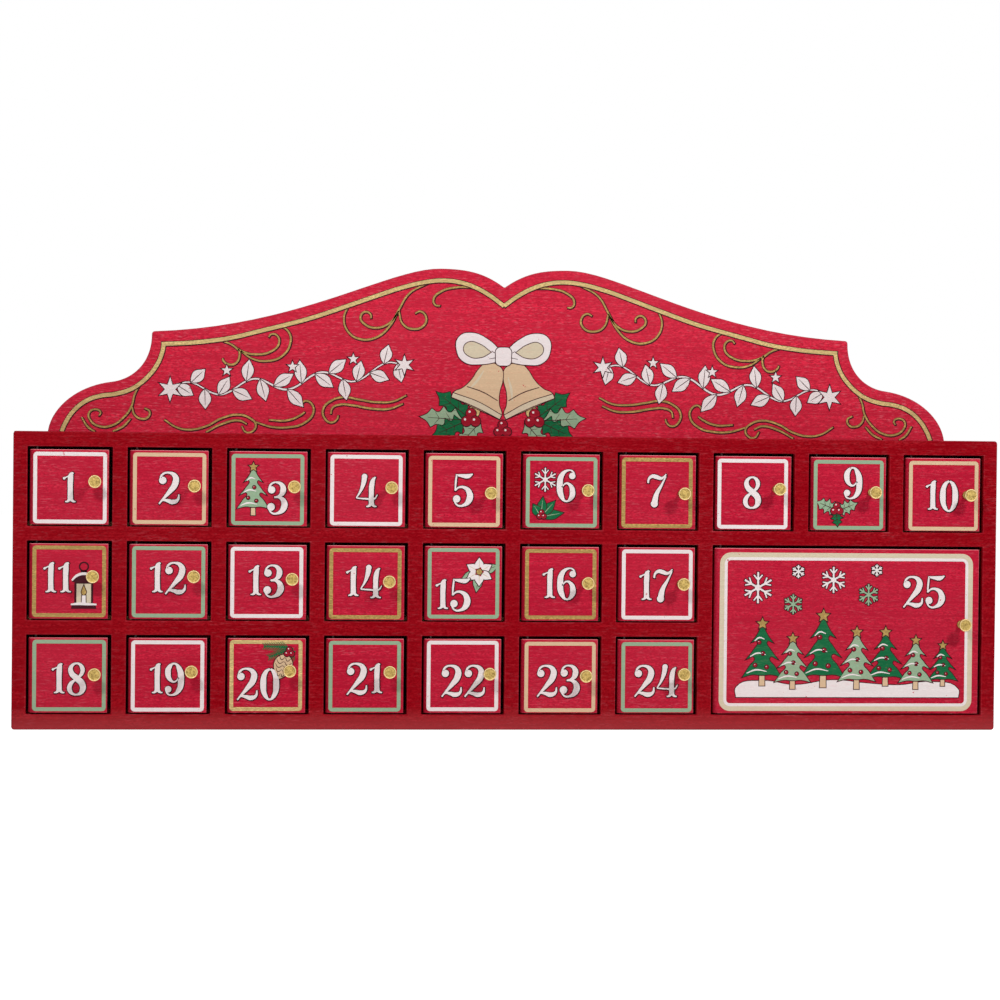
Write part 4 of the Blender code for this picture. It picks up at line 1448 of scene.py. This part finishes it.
# Foot, width, height and colour of each fir
FIRS = [(30, 17, 24, 38, green_print), (49, 15, 22, 31, sage_print), (68, 16, 27, 44, green_print),
        (89, 15, 23, 35, sage_print), (107, 17, 23, 33, green_print), (126, 15, 21, 30, sage_print),
        (143, 17, 18, 25, green_print)]
BAUBLES = ((0.12, 0.3), (-0.18, 0.33), (0.02, 0.52), (-0.08, 0.7))

# Middle, radius and colour of each flake
FLAKES = [(27, 77, 9.5, white_print), (49, 67, 6, sage_print), (74, 82, 8, white_print),
          (96, 73, 6.5, sage_print), (52, 87, 4, white_print), (101, 88, 3.6, white_print)]

rise = cut_out([(14, 10, "corner"), (153, 10, "corner"), (153, 15), (136, 19.5), (116, 17.5), (96, 18.5),
                (74, 20.5), (50, 17.5), (30, 20), (14, 16)])
films = printed(rise, white_print)
for step, (x, y, width, height, colour) in enumerate(FIRS):
    films += moved(fir(width, height, colour, 0.5 + 0.1 * (step % 2), BAUBLES), x, y)
for x, y, radius, colour in FLAKES:
    films += moved(snowflake(radius, colour, 1, width=0.55 + radius * 0.06), x, y)
large_picture = stand_up(films, "picture_25", large_low.x, large_low.y, large_low.z)
hang(large_picture, DOOR_COUNT)
print("large picture:", len(large_picture.data.polygons), "faces")

# %% [markdown]
# ### Header ornament
#
# A gold band follows the header's outline a little inside it, and thin scrolls with curled ends
# spring from it. Band and scrolls are brush strokes in gold with an ink line. Each is listed once
# for the left half, in millimetres from the box's left edge and its top, and mirrored. The whole
# print sits a hair to the left of the board's middle.

# %% Gold band and scrolls
BAND_WIDTH = 2.4
BAND = [
    [(26.8, 0.3), (28.7, 4.9), (33.7, 12.7), (41.8, 19.4), (50.9, 22.6), (59.0, 23.7), (68.1, 26.4),
     (74.2, 30.1), (80.3, 35.8), (84.8, 42.0), (87.8, 49.2), (89.0, 55.6)],
    [(87.6, 54.9), (104.6, 55.9), (115.8, 57.1), (130.1, 59.3), (148.0, 63.8), (163.5, 67.8),
     (178.9, 72.1), (199.5, 79.2), (220.0, 86.6), (235.5, 91.9), (251.0, 95.8), (261.4, 96.9),
     (271.8, 96.0), (281.2, 93.2), (290.6, 88.3), (300.0, 81.6)],
]
SCROLLS = [
    [(74.2, 29.5), (71.2, 23.4), (69.4, 16.2), (64.2, 8.9), (57.2, 4.2), (50.0, 3.7), (44.4, 7.2),
     (43.4, 11.8), (46.9, 14.1), (50.5, 12.4), (49.5, 10.1)],
    [(69.8, 15.6), (71.3, 11.1), (75.4, 8.6), (79.5, 9.6), (80.5, 13.2), (77.4, 15.2)],
    [(39.0, 9.1), (43.0, 3.1), (47.0, 0.5)],
    [(68.8, 8.5), (64.3, 3.8), (58.2, 0.7)],
    [(89.7, 8.2), (96.9, 3.7), (105.0, 2.2), (115.2, 4.4), (125.4, 9.7), (135.7, 11.8), (142.9, 9.4),
     (146.0, 5.8), (143.9, 1.6), (139.9, 1.1), (137.3, 4.7)],
    [(115.3, 0.8), (125.5, 6.1), (135.7, 8.2), (140.3, 6.2)],
    [(145.9, 7.3), (156.2, 4.4), (166.5, 4.4), (175.4, 6.8), (181.5, 13.4), (180.4, 19.1), (176.3, 20.8),
     (174.1, 18.3)],
    [(154.1, 8.8), (165.1, 8.6), (173.3, 11.8), (176.2, 13.9)],
    [(239.3, 25.0), (231.1, 21.2), (220.7, 20.6), (210.3, 22.0), (200.0, 23.4), (192.8, 21.3),
     (187.7, 16.1), (188.8, 9.9), (192.9, 7.6), (196.5, 10.0), (197.0, 12.1)],
    [(237.3, 19.8), (229.0, 16.6), (218.7, 16.4), (206.2, 18.4), (198.0, 18.8), (193.4, 16.7),
     (192.4, 13.0)],
    [(121.5, 58.4), (130.1, 55.4), (136.3, 51.4), (145.6, 49.3), (155.8, 51.7), (159.9, 56.4),
     (158.8, 61.0), (155.2, 62.0), (153.5, 60.2)],
    [(160.8, 67.4), (166.0, 63.2), (167.0, 57.0), (162.0, 48.6), (152.8, 45.3), (143.5, 46.6),
     (136.3, 51.4)],
    [(134.8, 52.9), (135.6, 48.8), (133.3, 43.7), (129.2, 42.8), (125.6, 45.1), (125.1, 46.6)],
    [(202.6, 80.2), (200.0, 72.4), (202.7, 64.2), (210.0, 59.7), (220.3, 60.9), (228.5, 68.0),
     (234.1, 78.1), (240.7, 88.6), (252.0, 95.0)],
    [(234.2, 77.5), (228.5, 70.0), (220.2, 66.8), (213.0, 69.0), (210.3, 73.1), (212.9, 76.6),
     (216.5, 75.3), (216.9, 72.7)],
    [(234.1, 77.5), (236.8, 69.4), (243.0, 66.4), (249.7, 68.6), (251.3, 73.7), (247.6, 77.5),
     (244.5, 76.2)],
    [(281.5, 92.9), (269.8, 92.7), (260.4, 90.0), (255.8, 85.2), (256.9, 81.6), (260.0, 81.1)],
]
SCROLL_WIDTH = 1.15
SCROLL_END = 0.55
SCROLL_SHADE = 0.26
PRINT_SHIFT = -0.4


def swelling(points):
    """Gives a scroll its widths: thin at both ends and full in between."""
    last = len(points) - 1
    swells = [math.sin(math.pi * (0.12 + 0.8 * step / last)) ** 0.6 for step in range(last + 1)]
    return [(x, y, SCROLL_END + (SCROLL_WIDTH - SCROLL_END) * swell)
            for (x, y), swell in zip(points, swells)]


def mirrored(points):
    return [(BOX_WIDTH - x, *rest) for x, *rest in points]


def on_header(films, name):
    """Stands films up against the header board, from the box's left edge and its top."""
    piece = stand_up(films, name, (PRINT_SHIFT - MIDDLE) * MM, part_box("header_back_board")[0].y, BOX_TOP)
    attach(piece, "case")
    return piece


def of_one_width(line):
    """A band's points with its width."""
    return [(x, y, BAND_WIDTH) for x, y in line]


band = fused([stroke(of_one_width(line), level=2) for line in BAND]
             + [stroke(of_one_width(mirrored(line)), level=2) for line in BAND])
gold_band = on_header(printed(band, bright_gold_print, shade=INK_SHADE), "gold_band")
scroll_films = []
for scroll in SCROLLS:
    for line in (swelling(scroll), mirrored(swelling(scroll))):
        scroll_films += printed(stroke(line), gold_print, shade=SCROLL_SHADE)
gold_scrolls = on_header(scroll_films, "gold_scrolls")
print("gold scrolls:", len(SCROLLS) * 2)

# %% [markdown]
# Along each side of the header runs a winding garland of white leaves with stars between them.
# The stem is a slow wave on a rising line, thickest halfway. Leaves spring from it to both sides
# in turn, and are longest halfway too.

# %% White garlands
GARLAND_START = (93.0, 27.0)
GARLAND_END = (238.0, 43.0)
GARLAND_SAG = 3.0
GARLAND_WAVE = 4.2
GARLAND_WAVES = 3.5
GARLAND_LEAVES = 17
GARLAND_LEAF_WIDTH = 7.4
GARLAND_LEAF_TURN = 58
STEM_STEPS = 28

# How far along the stem each star is, how far above it, its radius and its number of points
GARLAND_STARS = [(0.0, 0.0, 7.5, 6), (0.24, 14.0, 3.4, 5), (0.52, 13.5, 3.4, 5), (0.78, 14.0, 3.4, 5),
                 (1.0, 1.0, 6.0, 6)]


def garland_place(share):
    """A point of the stem, from 0 at its outer end to 1 at its inner end."""
    x = GARLAND_START[0] + (GARLAND_END[0] - GARLAND_START[0]) * share
    line = GARLAND_START[1] + (GARLAND_END[1] - GARLAND_START[1]) * share
    sag = GARLAND_SAG * 4 * share * (1 - share)
    return x, line - sag + GARLAND_WAVE * math.sin(2 * math.pi * GARLAND_WAVES * share)


def garland():
    """The left garland's films."""
    stem = [(*garland_place(step / STEM_STEPS), 1.1 - 0.4 * abs(2 * step / STEM_STEPS - 1))
            for step in range(STEM_STEPS + 1)]
    films = printed(stroke(stem, level=0), white_print)
    for step in range(GARLAND_LEAVES):
        share = (step + 0.5) / GARLAND_LEAVES
        x, y = garland_place(share)
        ahead_x, ahead_y = garland_place(share + 0.01)
        course = math.degrees(math.atan2(ahead_y - y, ahead_x - x))
        side = 1 if step % 2 else -1
        length = 14.5 - 3.0 * abs(share * 2 - 1)
        blade = leaf(length, GARLAND_LEAF_WIDTH, white_print, 1 + 0.1 * (step % 3))
        films += moved(blade, x, y, course + side * GARLAND_LEAF_TURN)
    for share, above, radius, points in GARLAND_STARS:
        x, y = garland_place(share)
        films += moved(star(radius, radius * 0.42, white_print, 2.5, points), x, y + above)
    return films


left_garland = on_header(garland(), "white_garland_left")
right_garland = copy_of(left_garland, "white_garland_right")
right_garland.data.transform(Matrix.Scale(-1, 4, (1, 0, 0)))
right_garland.data.flip_normals()
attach(right_garland, "case")
print("garlands:", left_garland.name, right_garland.name)

# %% [markdown]
# In the middle, under the notch, hang two bells from a large cream bow, on a bed of holly.

# %% Bells, bow and holly
# A bell's outline runs down from its crown. The bow's parts are its right half's.
BELL_SIDE = [(0.0, 2.2), (-1.6, 5.6), (-7.0, 8.2), (-15.0, 9.6), (-22.0, 12.6), (-27.0, 16.6),
             (-30.0, 16.2, "corner")]
BOW_LOOP = [(1.0, 2.4, "corner"), (9.0, 10.0), (20.0, 14.5), (28.0, 12.0), (29.5, 4.0), (25.0, -3.5),
            (14.0, -5.0), (1.0, -2.6, "corner")]
BOW_HOLLOW = [(8.0, 2.6, "corner"), (15.0, 7.4), (22.0, 8.6), (25.0, 4.6), (21.5, 0.0), (14.0, -0.6)]
BOW_TAIL = [(1.5, -2.0, "corner"), (10.0, -8.0), (19.0, -11.0), (31.0, -19.0), (34.5, -17.5, "corner"),
            (38.0, -25.5, "corner"), (29.0, -26.0, "corner"), (20.0, -21.0), (8.0, -14.0),
            (0.5, -4.5, "corner")]
BOW_KNOT = [(-4.2, 4.6), (0, 5.6), (4.2, 4.6), (4.8, 0), (4.0, -4.8), (0, -5.6), (-4.0, -4.8), (-4.8, 0)]
BOW_CREASES = ([(3.5, 1.0, 0.5), (7.5, 3.4, 0.3)], [(3.5, -0.6, 0.5), (9.0, -1.6, 0.3)])

# Length, width, colour, level, place and turn of each holly leaf on the right
HOLLY_BED = [(25, 14, green_print, 0.2, 22, 12, 38), (27, 15, sage_print, 0.6, 25, 10, 4),
             (22, 13, green_print, 1.0, 24, 9, -24), (20, 12, sage_print, 0.4, 14, 9, -48)]
BELL_TURN = 24


def bell(level):
    """A bell that hangs from the origin along the X axis, with a lip, a glint and a ring line."""
    clapper = dot(-32.5, 0, 3.6, level - 0.5)
    body = cut_out(both_sides(BELL_SIDE), level)
    lip = stroke([(-28.6, -16.6, 2.6), (-27.6, 0, 3.4), (-28.6, 16.6, 2.6)], level=level + 1)
    glint = stroke([(-6.5, 5.0, 0.5), (-14.0, 6.2, 1.6), (-21.0, 8.6, 0.6)], level=level + 1)
    ring = stroke([(-20.0, -10.6, 0.5), (-19.0, 0, 0.6), (-20.0, 10.6, 0.5)], level=level + 1.5)
    films = printed(clapper, bright_gold_print) + printed(body, tan_print) + printed(lip, cream_print)
    return films + printed(glint, cream_print, inked=False) + printed(ring, ink_print, inked=False)


def flipped(points):
    return [(-x, *rest) for x, *rest in points]


films = []
for side, shape in ((1, list), (-1, flipped)):
    for length, width, colour, level, x, y, turn in HOLLY_BED:
        films += moved(holly_leaf(length, width, colour, level), side * x, y,
                       turn if side > 0 else 180 - turn)
    films += printed(cut_out(shape(BOW_TAIL), 5), cream_print)
for side, level in ((1, 2.0), (-1, 3.6)):
    films += moved(bell(level), side * 5, 45, 90 + side * BELL_TURN)
bow = []
for side, shape in ((1, list), (-1, flipped)):
    bow += printed(cut_out(shape(BOW_LOOP), 7), white_print)
    bow += printed(cut_out(shape(BOW_HOLLOW), 8), cream_print)
    for crease in BOW_CREASES:
        bow += printed(stroke(shape(crease), level=8), ink_print, inked=False)
bow += printed(cut_out(BOW_KNOT, 9), white_print)
films += moved(bow, 0, 50)
for x, y, radius in ((20, 11, 3.1), (-20, 11, 3.1), (0, 4.5, 2.8)):
    films += moved(berries(radius, 6), x, y)
centre = on_header(moved(films, MIDDLE, 0), "bells_and_bow")
print("bells and bow:", len(centre.data.polygons), "faces")
